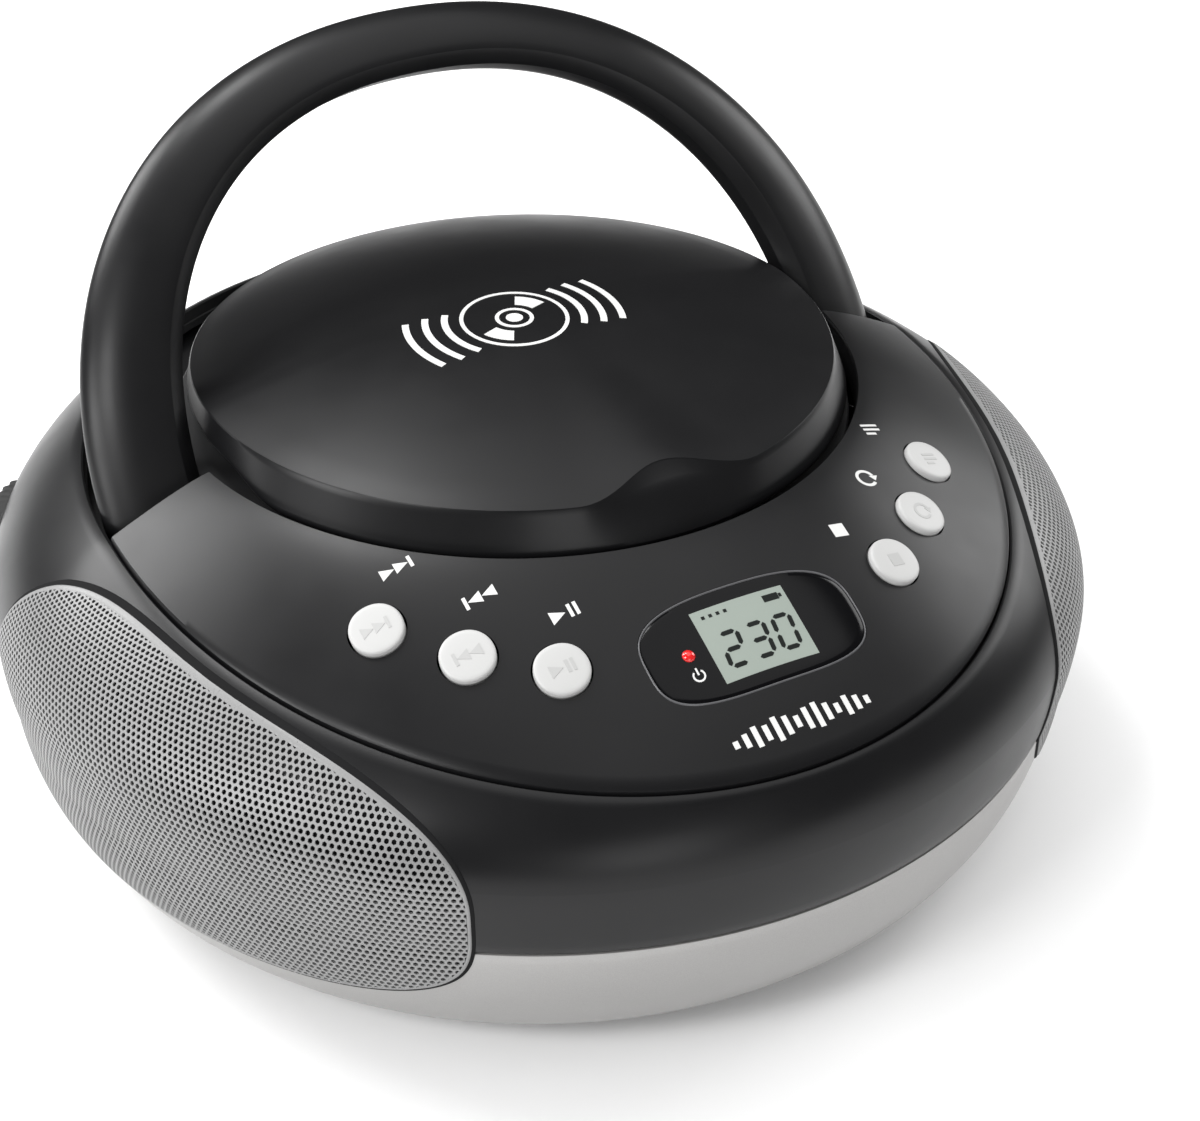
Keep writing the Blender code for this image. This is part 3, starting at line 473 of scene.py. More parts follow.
def console_normal(x, y):
    """Upward normal of the console at a plan point."""
    slope_x = console_z(x + 0.5, y) - console_z(x - 0.5, y)
    slope_y = console_z(x, y + 0.5) - console_z(x, y - 0.5)
    return Vector((-slope_x, -slope_y, 1.0)).normalized()


def console_frame(x, y):
    """A frame lying on the console at a plan point."""
    return frame_at((x, y, console_z(x, y)), console_normal(x, y))


def notch_share(angle):
    """1 in the middle of the lid's thumb notch, falling to 0 at its ends."""
    away = abs(math.degrees(angle) - 270.0) / NOTCH_HALF_DEG
    return 0.5 + 0.5 * math.cos(math.pi * min(1.0, away))


def front_share(angle):
    """1 along the front of the lid, falling to 0 beside the handle and at the hinge."""
    share = min(1.0, max(0.0, (-math.sin(angle) - 0.12) / 0.3))
    return share * share * (3.0 - 2.0 * share)


def dome_z(radius):
    """Height of the lid's dome at a distance from its middle."""
    return LID_TOP_Z - (LID_TOP_Z - CREASE_Z) * (radius / LID_R) ** 2


def outward(angle, radius, height):
    """A frame on the body's side: z points outwards and y points up."""
    out = Vector((math.cos(angle), math.sin(angle), 0.0))
    along = Vector((-math.sin(angle), math.cos(angle), 0.0))
    return frame_at(out * radius + Vector((0.0, 0.0, height)), out, along)


def on_side(degrees, height):
    """An outward frame on the side of the ball."""
    angle = math.radians(degrees)
    return outward(angle, body_radius(angle, height), height)


# ---------------------------------------------------------------- materials


def new_material(name):
    """An empty Principled material and its nodes."""
    made = bpy.data.materials.get(name) or bpy.data.materials.new(name)
    made.use_nodes = True
    nodes = made.node_tree.nodes
    nodes.clear()
    shader = nodes.new("ShaderNodeBsdfPrincipled")
    output = nodes.new("ShaderNodeOutputMaterial")
    made.node_tree.links.new(shader.outputs["BSDF"], output.inputs["Surface"])
    return made, made.node_tree, shader


def noise(tree, scale, detail=3.0, rough=0.5):
    """Noise on object coordinates."""
    place = tree.nodes.new("ShaderNodeTexCoord")
    texture = tree.nodes.new("ShaderNodeTexNoise")
    texture.inputs["Scale"].default_value = scale
    texture.inputs["Detail"].default_value = detail
    texture.inputs["Roughness"].default_value = rough
    tree.links.new(place.outputs["Object"], texture.inputs["Vector"])
    return texture.outputs["Fac"]


def ranged(tree, value, low, high, from_low=0.3, from_high=0.7):
    """Spread a value over a new range."""
    spread = tree.nodes.new("ShaderNodeMapRange")
    spread.inputs["From Min"].default_value = from_low
    spread.inputs["From Max"].default_value = from_high
    spread.inputs["To Min"].default_value = low
    spread.inputs["To Max"].default_value = high
    tree.links.new(value, spread.inputs["Value"])
    return spread.outputs["Result"]


def bumped(tree, shader, height, strength, depth):
    """Let a value raise the surface by a depth in millimetres."""
    bump = tree.nodes.new("ShaderNodeBump")
    bump.inputs["Strength"].default_value = strength
    bump.inputs["Distance"].default_value = depth * MM
    tree.links.new(height, bump.inputs["Height"])
    tree.links.new(bump.outputs["Normal"], shader.inputs["Normal"])


def moulded(name, colour, roughness, metallic=0.0, grain=2600.0, depth=0.02, spread=0.04,
            tint=0.12, coat=0.0, flakes=0.0, shine=0.5):
    """Moulded or painted plastic: fine grain, uneven gloss and a slight drift of colour."""
    made, tree, shader = new_material(name)
    shader.inputs["Metallic"].default_value = metallic
    shader.inputs["Coat Weight"].default_value = coat
    shader.inputs["Specular IOR Level"].default_value = shine
    shader.inputs["Coat Roughness"].default_value = 0.12
    drift = noise(tree, 55.0, 4.0)
    tree.links.new(ranged(tree, drift, roughness - spread, roughness + spread),
                   shader.inputs["Roughness"])
    mix = tree.nodes.new("ShaderNodeMix")
    mix.data_type = "RGBA"
    mix.inputs["A"].default_value = (*[part * (1.0 - tint) for part in colour], 1.0)
    mix.inputs["B"].default_value = (*[min(1.0, part * (1.0 + tint)) for part in colour], 1.0)
    source = noise(tree, 5200.0, 2.0) if flakes else noise(tree, 24.0, 5.0)
    tree.links.new(ranged(tree, source, 0.0, 1.0), mix.inputs["Factor"])
    tree.links.new(mix.outputs["Result"], shader.inputs["Base Color"])
    bumped(tree, shader, noise(tree, grain, 2.0), 0.35, depth)
    made.diffuse_color = (*colour, 1.0)
    return made


def brushed(name, colour, roughness, stretch=(1.0, 60.0, 60.0)):
    """Drawn metal: fine lines along one way."""
    made, tree, shader = new_material(name)
    shader.inputs["Metallic"].default_value = 1.0
    shader.inputs["Base Color"].default_value = (*colour, 1.0)
    place = tree.nodes.new("ShaderNodeTexCoord")
    mapping = tree.nodes.new("ShaderNodeMapping")
    mapping.inputs["Scale"].default_value = stretch
    lines = tree.nodes.new("ShaderNodeTexNoise")
    lines.inputs["Scale"].default_value = 90.0
    lines.inputs["Detail"].default_value = 4.0
    tree.links.new(place.outputs["Object"], mapping.inputs["Vector"])
    tree.links.new(mapping.outputs["Vector"], lines.inputs["Vector"])
    tree.links.new(ranged(tree, lines.outputs["Fac"], roughness - 0.07, roughness + 0.09),
                   shader.inputs["Roughness"])
    bumped(tree, shader, lines.outputs["Fac"], 0.15, 0.01)
    made.diffuse_color = (*colour, 1.0)
    return made


def board_green():
    """Solder mask with faint copper tracks under it."""
    made, tree, shader = new_material("solder_mask")
    place = tree.nodes.new("ShaderNodeTexCoord")
    tracks = tree.nodes.new("ShaderNodeTexBrick")
    tracks.inputs["Scale"].default_value = 260.0
    tracks.inputs["Mortar Size"].default_value = 0.05
    tracks.inputs["Color1"].default_value = (0.012, 0.09, 0.035, 1.0)
    tracks.inputs["Color2"].default_value = (0.015, 0.11, 0.04, 1.0)
    tracks.inputs["Mortar"].default_value = (0.05, 0.2, 0.07, 1.0)
    tree.links.new(place.outputs["Object"], tracks.inputs["Vector"])
    tree.links.new(tracks.outputs["Color"], shader.inputs["Base Color"])
    tree.links.new(ranged(tree, noise(tree, 300.0), 0.3, 0.45), shader.inputs["Roughness"])
    return made


def finishes():
    """All finishes of the player, made once."""
    if "case black" in bpy.data.materials:
        return {made.name: made for made in bpy.data.materials}
    look = bpy.context.scene.player_finishes
    black = tuple(look.shell_colour)
    moulded("case black", black, look.shell_roughness, grain=3200.0, depth=0.012, spread=0.03,
            shine=0.28)
    moulded("handle black", black, look.shell_roughness + 0.02, grain=2400.0, depth=0.014,
            shine=0.28)
    moulded("bowl silver", tuple(look.bowl_colour), 0.34, 0.45, 4200.0, 0.01, 0.03, 0.06,
            flakes=1.0)
    moulded("grille silver", tuple(look.grille_colour), 0.5, 0.25, 5200.0, 0.008, 0.05, 0.08)
    moulded("key grey", tuple(look.key_colour), 0.46, grain=3600.0, depth=0.02, tint=0.03)
    moulded("print white", tuple(look.print_colour), 0.5, grain=5200.0, depth=0.01, tint=0.02)
    moulded("symbol grey", tuple(0.86 * part for part in look.key_colour), 0.5, tint=0.02)
    moulded("window black", (0.003, 0.003, 0.0035), 0.13, depth=0.001, spread=0.02, shine=0.16)
    moulded("window edge", (0.09, 0.09, 0.095), 0.3, tint=0.02)
    moulded("liquid crystal", (0.25, 0.285, 0.255), 0.3, depth=0.002, tint=0.04, shine=0.2)
    moulded("segment ink", (0.008, 0.01, 0.009), 0.4, depth=0.002, shine=0.15)
    moulded("lamp red", (0.62, 0.012, 0.012), 0.16, coat=0.8, depth=0.003)
    moulded("inner black", (0.018, 0.018, 0.019), 0.55, grain=1800.0, depth=0.03)
    moulded("soft rubber", (0.014, 0.014, 0.014), 0.72, grain=1500.0, depth=0.05, spread=0.08)
    moulded("speaker paper", (0.006, 0.006, 0.0065), 0.85, grain=900.0, depth=0.1, shine=0.2)
    brushed("plain steel", (0.52, 0.53, 0.54), 0.32)
    brushed("antenna chrome", (0.72, 0.73, 0.74), 0.13)
    board_green()
    return {made.name: made for made in bpy.data.materials}


# ---------------------------------------------------------------- case


class PLAYER_OT_upper_shell(bpy.types.Operator):
    """Black band of the case, with its wheel slots and the facet for the antenna"""

    bl_idname = "player.upper_shell"
    bl_label = "Upper shell"

    def execute(self, context):
        def section(angle):
            top, seam = seam_z(angle), seam_radius(angle)
            loop = [polar(angle, seam - 1.15, top - 0.25), polar(angle, seam - 0.75, top - 0.02),
                    polar(angle, seam - 0.35, top - 0.12)]
            levels = [top - 0.5, top - 1.2, top - 2.4]
            first = top - 4.0
            levels += [first + (FACET_LOW_Z + 0.02 - first) * step / 9.0 for step in range(10)]
            low = SPLIT_Z + 0.5
            levels += [FACET_LOW_Z + (low - FACET_LOW_Z) * step / 7.0 for step in range(8)]
            loop += [polar(angle, faceted_radius(angle, level), level) for level in levels]
            loop.append(polar(angle, body_radius(angle, SPLIT_Z) - 0.12, SPLIT_Z + 0.12))
            loop.append(polar(angle, body_radius(angle, SPLIT_Z) - 0.5, SPLIT_Z))
            inner = [SPLIT_Z, 42.0, FACET_LOW_Z, FACET_LOW_Z + 0.02, min(64.5, top - 6.0),
                     top - 5.2]
            loop += [polar(angle, faceted_radius(angle, level) - WALL, level) for level in inner]
            inset = 4.0 if math.sin(angle) < -0.05 else 1.6
            loop.append(polar(angle, seam - inset, top - 5.0))
            loop.append(polar(angle, seam - inset, top - 3.2))
            loop.append(polar(angle, seam - 1.2, top - 3.0))
            return loop

        shell = ring_of("upper_case", 216, section)
        low, high, wide = WHEEL_Z[0] - SLOT_GAP, WHEEL_Z[1] + SLOT_GAP, WHEEL_R + SLOT_GAP
        slot = [(0.0, low), (wide, low), (wide, high), (0.0, high)]
        cutters = []
        for degrees in (WHEEL_DEG, 180.0 - WHEEL_DEG):
            x, y = plan_point(degrees, WHEEL_SEAT_R)
            cutters.append(turned("slot", slot, 72, (x, y)))
        place = on_side(SWITCH_DEG, SWITCH_Z)
        cutters.append(block("slot", (-8.0, -2.6, -9.0), (8.0, 2.6, 5.0), place))
        cut(shell, cutters)
        seat(shell, "body", "shell_black", finishes()["case black"], "upper_shell", angle=40.0)
        return {"FINISHED"}


class PLAYER_OT_lower_shell(bpy.types.Operator):
    """Silver bowl with its battery opening, screw holes and mains opening"""

    bl_idname = "player.lower_shell"
    bl_label = "Lower shell"

    def execute(self, context):
        top = SPLIT_Z - 0.35
        profile = [(0.0, BASE_Z), (BASE_R - 12.0, BASE_Z), (BASE_R - 11.4, BASE_Z + 0.8),
                   (BASE_R - 9.0, BASE_Z + 0.8), (BASE_R - 8.4, BASE_Z), (BASE_R - 1.0, BASE_Z),
                   (BASE_R - 0.2, BASE_Z + 0.15)]
        for step in range(1, 25):
            level = BASE_Z + (top - 0.6 - BASE_Z) * (step / 24.0) ** 1.6
            profile.append((body_radius(0.0, level), level))
        edge = body_radius(0.0, top)
        profile += [(edge - 0.15, top - 0.15), (edge - 0.6, top), (edge - WALL, top)]
        for level in (30.0, 22.0, 14.0, 8.0):
            profile.append((body_radius(0.0, level) - WALL, level))
        profile += [(BASE_R - WALL, FLOOR_IN_Z), (0.0, FLOOR_IN_Z)]
        bowl = turned("lower_case", profile, 192)
        cutters = [block("bay", (-53.4, 10.6, 0.0), (53.4, 63.4, 8.0))]
        for degrees in SCREWS:
            x, y = plan_point(degrees, SCREW_RING_R)
            hole = [(0.0, 0.0), (3.4, 0.0), (3.4, 8.0), (0.0, 8.0)]
            cutters.append(turned("hole", hole, 40, (x, y)))
        place = on_side(INLET_DEG, INLET_Z)
        cutters.append(block("inlet", (-11.3, -7.3, -26.0), (11.3, 7.3, 6.0), place))
        cut(bowl, cutters)
        seat(bowl, "body", "shell_silver", finishes()["bowl silver"], "lower_shell")
        return {"FINISHED"}


class PLAYER_OT_console(bpy.types.Operator):
    """Sloping key panel in front of the lid, with its key holes and the display's opening"""

    bl_idname = "player.console"
    bl_label = "Console"

    def execute(self, context):
        wall = math.radians(1.6)
        foot = CHANNEL_Z + 0.3

        def section(angle):
            inner = rim_radius(angle)
            outer = seam_radius(angle) - 1.5
            is_wall = min(angle - math.pi, 2.0 * math.pi - angle) < wall
            rise = console_z(*polar(angle, inner, 0.0)[:2])
            low = foot if is_wall else LEDGE_Z - 1.0
            loop = [polar(angle, inner, low), polar(angle, inner, rise - 1.3),
                    polar(angle, inner + 0.12, rise - 0.6), polar(angle, inner + 0.45, rise - 0.17)]
            spans = 22
            for step in range(spans + 1):
                share = 0.012 + 0.976 * step / spans
                x, y, _ = polar(angle, inner + (outer - inner) * share, 0.0)
                loop.append((x, y, console_z(x, y)))
            x, y, _ = polar(angle, outer, 0.0)
            edge = console_z(x, y)
            loop += [(x, y, edge - 0.35), (x, y, edge - 2.5 if not is_wall else foot)]
            for share in (0.75, 0.5, 0.25):
                x, y, _ = polar(angle, inner + (outer - inner) * share, 0.0)
                loop.append((x, y, foot if is_wall else console_z(x, y) - WALL))
            x, y, _ = polar(angle, inner + 2.0, 0.0)
            loop.append((x, y, foot if is_wall else rise - WALL - 0.4))
            loop.append((x, y, low))
            return loop

        panel = ring_of("console", 226, section, math.pi, 2.0 * math.pi)
        wide = KEY_HALF + KEY_GAP
        hole = [(0.0, -6.0), (wide, -6.0), (wide, 4.0), (0.0, 4.0)]
        cutters = [turned("key_hole", hole, 64, place=console_frame(x, y))
                   for x, y in KEYS.values()]

        def opening(angle):
            return pill_section(angle, 0.35, ((0.0, -8.0), (1.0, -8.0), (1.0, 4.0), (0.0, 4.0)))

        cutters.append(ring_of("window_hole", 96, opening))
        cut(panel, cutters)
        seat(panel, "body", "shell_black", finishes()["case black"], "console_panel", angle=30.0)
        return {"FINISHED"}


def superellipse(angle, half_x, half_y, power):
    """A point on a superellipse."""
    c, s = math.cos(angle), math.sin(angle)
    return (half_x * math.copysign(abs(c) ** (2.0 / power), c),
            half_y * math.copysign(abs(s) ** (2.0 / power), s))


def pill_section(angle, grow, points):
    """Section of the display's pill at an angle: points are (share of the radius, height)."""
    u, v = superellipse(angle, PILL_X + grow, PILL_Y + grow, 3.2)
    loop = []
    for share, rise in points:
        x, y = u * share, DISPLAY_Y + v * share * 0.9
        loop.append((x, y, console_z(x, y) + rise))
    return loop


def pin_holes(depth):
    """Cutters for the handle's two pivot pins."""
    profile = [(0.0, 0.0), (PIN_HOLE_R, 0.0), (PIN_HOLE_R, depth), (0.0, depth)]
    return [turned("pin_hole", profile, 40, place=sideways(side, PIN_HOLE_X, PIVOT_Y, PIVOT_Z))
            for side in (-1.0, 1.0)]


class PLAYER_OT_channel(bpy.types.Operator):
    """Floor of the handle's channel and the tray of the disc well"""

    bl_idname = "player.channel"
    bl_label = "Channel and disc well"

    def execute(self, context):
        def section(angle):
            inner = rim_radius(angle) + 0.2
            outer = faceted_radius(angle, CHANNEL_Z + 1.0) - WALL - 2.6
            middle = (inner + outer) / 2.0
            low = CHANNEL_Z - 2.3
            return [polar(angle, inner, low), polar(angle, outer, low),
                    polar(angle, outer, CHANNEL_Z), polar(angle, outer - 1.0, CHANNEL_Z),
                    polar(angle, middle, CHANNEL_Z), polar(angle, inner, CHANNEL_Z)]

        floor = ring_of("handle_bed", 120, section, 0.0, math.pi)
        seat(floor, "body", "shell_black", finishes()["case black"], "handle_channel")
        profile = [(WELL_R, CHANNEL_Z - 2.0), (WELL_R, LEDGE_Z - 0.3), (WELL_R - 0.3, LEDGE_Z),
                   (RECESS_R + 1.6, LEDGE_Z), (RECESS_R + 1.1, LEDGE_Z - 0.25),
                   (RECESS_R, WELL_FLOOR_Z + 0.5), (RECESS_R - 0.5, WELL_FLOOR_Z),
                   (24.0, WELL_FLOOR_Z), (23.7, WELL_FLOOR_Z - 0.3), (23.0, WELL_FLOOR_Z - 0.3),
                   (22.7, WELL_FLOOR_Z), (17.9, WELL_FLOOR_Z), (17.5, WELL_FLOOR_Z - 0.4),
                   (17.5, WELL_FLOOR_Z - 2.0), (RECESS_R + 2.0, WELL_FLOOR_Z - 2.0),
                   (RECESS_R + 3.0, LEDGE_Z - 2.0), (WELL_R - 2.2, LEDGE_Z - 2.0),
                   (WELL_R - 2.2, CHANNEL_Z - 2.0), (WELL_R, CHANNEL_Z - 2.0)]
        well = turned("disc_tray", profile, 160, (0.0, RIM_Y))
        slot = block("slot", (-10.5, RIM_Y - 60.0, 70.0), (10.5, RIM_Y - 15.0, 80.0), None, 2.0)
        cut(well, [slot] + pin_holes(9.0))
        seat(well, "body", "inner_plastic", finishes()["inner black"], "disc_well")
        return {"FINISHED"}


# ---------------------------------------------------------------- lid


class PLAYER_OT_lid(bpy.types.Operator):
    """Domed lid with its thumb notch, hinge lugs and clamp"""

    bl_idname = "player.lid"
    bl_label = "Lid"

    def execute(self, context):
        def section(angle):
            notch = notch_share(angle)
            reach = front_share(angle)
            fall = LID_REAR_FALL * max(0.0, math.sin(angle))
            crease = LID_R - 1.0 - NOTCH_DEPTH * notch
            edge = LID_R + LID_FRONT_REACH * reach
            skirt = SKIRT_Z - LID_FRONT_DROP * reach
            top = [(crease * share, dome_z(crease * share) + (0.9 * notch - fall) * share ** 3)
                   for share in (0.0, 0.12, 0.25, 0.38, 0.5, 0.62, 0.72, 0.82, 0.9, 0.96)]
            level = dome_z(crease) + 0.9 * notch - fall
            drop = level - skirt
            top += [(crease - 0.45, level - 0.02), (crease - 0.12, level - 0.1),
                    (crease + 0.1, level - 0.35)]
            top += [(crease + 0.1 + (edge - crease - 0.1) * share ** (1.0 - 0.45 * notch),
                     level - 0.35 - (drop - 1.3) * share)
                    for share in (0.15, 0.3, 0.45, 0.6, 0.75, 0.9, 1.0)]
            top += [(edge, skirt + 0.5), (edge - 0.15, skirt + 0.12), (edge - 0.5, skirt)]
            under = [(edge - 1.6, skirt), (edge - 1.75, skirt + 1.0),
                     (min(crease - 1.9, edge - 2.6), SKIRT_Z + 2.4 - notch - 0.6 * fall)]
            under += [(crease * share,
                       dome_z(crease * share) - 2.2 - 0.5 * share - fall * share ** 3)
                      for share in (0.75, 0.5, 0.25, 0.0)]
            return [(r * math.cos(angle), RIM_Y + r * math.sin(angle), z)
                    for r, z in top + under]

        shell = ring_of("lid_dome", 240, section)
        parts = [shell]
        for side in (-1.0, 1.0):
            x = side * LUG_X
            parts.append(block("lug", (x - 2.0, HINGE_Y - 3.0, HINGE_Z - 2.6),
                               (x + 2.0, HINGE_Y + 2.2, HINGE_Z + 2.8), None, 0.6))
        shell = join("lid_dome", parts)
        paint = finishes()
        seat(shell, "lid", "shell_black", paint["case black"], "lid_shell", angle=28.0)
        low = WELL_FLOOR_Z + 6.0
        cage = turned("clamp_cage", [
            (16.0, low + 1.3), (16.0, low + 7.5), (9.0, low + 7.5), (9.0, low + 6.3),
            (14.0, low + 6.3), (14.0, low + 2.2), (11.4, low + 2.2), (11.4, low + 1.0),
            (15.7, low + 1.0), (16.0, low + 1.3)], 72, (0.0, RIM_Y))
        seat(cage, "lid", "inner_plastic", paint["inner black"], "clamp_retainer")
        puck = turned("clamp_disc", [
            (0.0, low + 0.6), (3.0, low + 0.6), (3.4, low), (10.2, low), (10.6, low + 0.4),
            (10.6, low + 2.8), (13.0, low + 2.8), (13.0, low + 4.6), (0.0, low + 4.6)],
            72, (0.0, RIM_Y))
        seat(puck, "clamp", "button_grey", paint["key grey"], "clamp_puck")
        return {"FINISHED"}


class PLAYER_OT_hinges(bpy.types.Operator):
    """Brackets and stub pins of the lid, and the handle's two pivot pins"""

    bl_idname = "player.hinges"
    bl_label = "Hinges"

    def execute(self, context):
        paint = finishes()
        for side, word in ((-1.0, "left"), (1.0, "right")):
            near, far = sorted((side * 24.4, side * 28.0))
            bracket = block("lid_bracket", (near, HINGE_Y - 2.6, LEDGE_Z + 0.3),
                            (far, HINGE_Y + 2.0, HINGE_Z + 2.2), None, 0.5)
            place = sideways(side, 18.4, HINGE_Y, HINGE_Z)
            stub = turned("stub", [(0.0, 0.0), (1.2, 0.0), (1.5, 0.3), (1.5, 8.0), (0.0, 8.0)], 32,
                          place=place)
            seat(join("lid_bracket_" + word, [bracket, stub]), "body", "shell_black",
                 paint["case black"], "lid_hinge_" + word)
            place = sideways(side, 70.5, PIVOT_Y, PIVOT_Z)
            pin = turned("pivot_pin_" + word, [(0.0, 0.0), (2.2, 0.0), (2.5, 0.3), (2.5, 9.2),
                                               (2.2, 9.5), (0.0, 9.5)], 48, place=place)
            seat(pin, "body", "steel", paint["plain steel"], "handle_pin_" + word)
        return {"FINISHED"}


# ---------------------------------------------------------------- handle


def handle_point(x, s, n):
    """From the handle's own axes to the player's, as it leans back at rest."""
    lean = math.radians(LEAN_DEG)
    return (x, PIVOT_Y + s * math.sin(lean) - n * math.cos(lean),
            PIVOT_Z + s * math.cos(lean) + n * math.sin(lean))


def arch_edges(u):
    """Inner edge, outer edge and fullness of the arch, with u from one foot to the other."""
    if u > 0.5:
        inner, outer, full = arch_edges(1.0 - u)
        return (-inner[0], inner[1]), (-outer[0], outer[1]), full
    if u < FOOT_SHARE:
        share = u / FOOT_SHARE
        s = -FOOT_DEPTH * (1.0 - share)
        swell = math.sqrt(max(0.0, 1.0 - (1.0 - share) ** 2))
        full = 0.35 + 0.65 * swell
        half = FOOT_HALF * full
        return (FOOT_MIDDLE - half, s), (FOOT_MIDDLE + half, s), full
    turn = math.pi * (u - FOOT_SHARE) / (1.0 - 2.0 * FOOT_SHARE)
    return superellipse(turn, *ARCH_IN), superellipse(turn, *ARCH_OUT), 1.0


class PLAYER_OT_handle(bpy.types.Operator):
    """Arched carrying handle: a domed cover over a trough, with a fine parting line"""

    bl_idname = "player.handle"
    bl_label = "Handle"

    def execute(self, context):
        top, low = HANDLE_TOP, HANDLE_LOW
        part = low + (top - low) * 0.72
        edge = low + (top - low) * 0.12
        cover = [(0.0, part), (0.006, part + 0.3), (0.15, top - 0.12), (0.158, top - 0.02),
                 (0.168, top), (0.27, top - 0.2), (0.4, top - 0.6), (0.55, top - 1.3),
                 (0.7, top - 2.4), (0.82, top - 3.75), (0.91, top - 5.2), (0.965, top - 6.5),
                 (0.992, top - 7.6), (1.0, edge + 0.5), (0.998, edge), (0.87, edge),
                 (0.7, top - 5.6), (0.4, top - 3.4), (0.13, part)]
        trough = [(0.058, part - 0.35), (0.13, part - 0.35), (0.14, low + 2.0),
                  (0.82, low + 2.0), (0.86, edge - 0.3), (0.975, edge - 0.3), (0.985, edge - 0.6),
                  (0.94, low + 0.12), (0.9, low), (0.12, low), (0.085, low + 0.15),
                  (0.06, low + 0.7), (0.056, low + 1.6), (0.056, low + 4.0)]
        for name, rim, node in (("handle_top", cover, "handle_cover"),
                                ("handle_under", trough, "handle_trough")):
            def section(at, rim=rim):
                inner, outer, full = arch_edges(at)
                loop = []
                for share, n in rim:
                    x = inner[0] + (outer[0] - inner[0]) * share
                    s = inner[1] + (outer[1] - inner[1]) * share
                    loop.append(handle_point(x, s, n * full))
                return loop

            piece = ring_of(name, 200, section, 0.0, 1.0)
            if node == "handle_trough":
                cut(piece, pin_holes(11.0))
            seat(piece, "handle", "shell_black", finishes()["handle black"], node, angle=42.0)
        return {"FINISHED"}


# ---------------------------------------------------------------- keys and display


class PLAYER_OT_keys(bpy.types.Operator):
    """Six light keys, each with a raised sign"""

    bl_idname = "player.keys"
    bl_label = "Keys"

    def execute(self, context):
        paint = finishes()
        profile = [(0.0, 1.18), (0.45, 1.17), (0.8, 1.13), (0.91, 1.08), (0.95, 1.0),
                   (0.98, 0.85), (1.0, 0.55), (1.0, -4.0), (0.96, -4.2), (0.0, -4.2)]
        for name, (x, y) in KEYS.items():
            place = console_frame(x, y)

            def section(angle, place=place):
                u, v = superellipse(angle, KEY_HALF, KEY_HALF, 2.1)
                return [place @ Vector((u * share, v * share, rise)) for share, rise in profile]

            cap = ring_of("key_" + name, 72, section)
            seat(cap, name + "_key", "button_grey", paint["key grey"], "button_" + name)
            sign = flat_sign("key_sign_" + name, key_sign(name),
                             lambda u, v, place=place: place @ Vector((u, v, 1.24)), 0.14)
            seat(sign, name + "_key", "button_grey", paint["symbol grey"])
        return {"FINISHED"}


def flat_sign(name, outlines, place, thick=0.08, cuts=2):
    """A thin sign from flat outlines, laid on the surface that place(u, v) gives."""
    deselect()
    curve = bpy.data.curves.new(name, "CURVE")
    curve.dimensions = "2D"
    curve.fill_mode = "BOTH"
    for outline in outlines:
        spline = curve.splines.new("POLY")
        spline.points.add(len(outline) - 1)
        for point, (u, v) in zip(spline.points, outline):
            point.co = (u, v, 0.0, 1.0)
        spline.use_cyclic_u = True
    piece = bpy.data.objects.new(name, curve)
    bpy.context.scene.collection.objects.link(piece)
    activate(piece)
    bpy.ops.object.convert(target="MESH")
    piece = bpy.context.object
    edit(piece)
    bpy.ops.mesh.remove_doubles(threshold=0.001)
    bpy.ops.mesh.quads_convert_to_tris()
    bpy.ops.mesh.subdivide(number_cuts=cuts)
    bpy.ops.mesh.extrude_region_move(TRANSFORM_OT_translate={"value": (0.0, 0.0, 1.0)})
    face_outwards()
    for vert in piece.data.vertices:
        above = vert.co.z > 0.5
        spot = Vector(place(vert.co.x, vert.co.y))
        vert.co = (spot + Vector((0.0, 0.0, 0.0 if above else -thick))) * MM
    return piece


def scaled(outlines, scale):
    """Outlines made larger about their origin."""
    return [[(scale * x, scale * y) for x, y in outline] for outline in outlines]


def bar(width, height, u=0.0, v=0.0):
    """A rectangle about a point."""
    return [(u - width / 2, v - height / 2), (u + width / 2, v - height / 2),
            (u + width / 2, v + height / 2), (u - width / 2, v + height / 2)]


def arrow(size, u=0.0, way=1.0):
    """A triangle that points along u, or against it where way is -1."""
    return [(u - way * size / 2, -size / 2), (u + way * size / 2, 0.0),
            (u - way * size / 2, size / 2)]


def round_line(radius, count):
    """A circle as a closed line."""
    turns = [FULL_TURN * i / count for i in range(count)]
    return [(radius * math.cos(turn), radius * math.sin(turn)) for turn in turns]


def arc_band(inner, outer, start, end, count=24):
    """A band of a ring between two angles in degrees."""
    turns = [math.radians(start + (end - start) * i / count) for i in range(count + 1)]
    band = [(outer * math.cos(turn), outer * math.sin(turn)) for turn in turns]
    return band + [(inner * math.cos(turn), inner * math.sin(turn)) for turn in reversed(turns)]


def key_sign(name):
    """Outlines of each key's pictogram, in millimetres."""
    if name == "play":
        return [arrow(2.6, -1.1), bar(0.6, 2.6, 1.1), bar(0.6, 2.6, 2.2)]
    if name == "back":
        return [bar(0.6, 2.6, -2.4), arrow(2.4, -0.8, -1.0), arrow(2.4, 1.7, -1.0)]
    if name == "next":
        return [arrow(2.4, -1.7), arrow(2.4, 0.8), bar(0.6, 2.6, 2.4)]
    if name == "stop":
        return [bar(2.8, 2.8)]
    if name == "repeat":
        head = [(1.75, -0.7), (2.65, 0.5), (0.85, 0.5)]
        return [arc_band(1.45, 2.05, 20.0, 320.0), head]
    return [bar(3.6, 0.55, 0.0, 1.2), bar(3.6, 0.55), bar(2.2, 0.55, -0.7, -1.2)]


def on_console(x, y, lift=PRINT_LIFT, lean=0.88):
    """A place function that lays a sign on the console about a plan point."""
    def place(u, v):
        px, py = x + u, y + v * lean
        return (px, py, console_z(px, py) + lift)

    return place


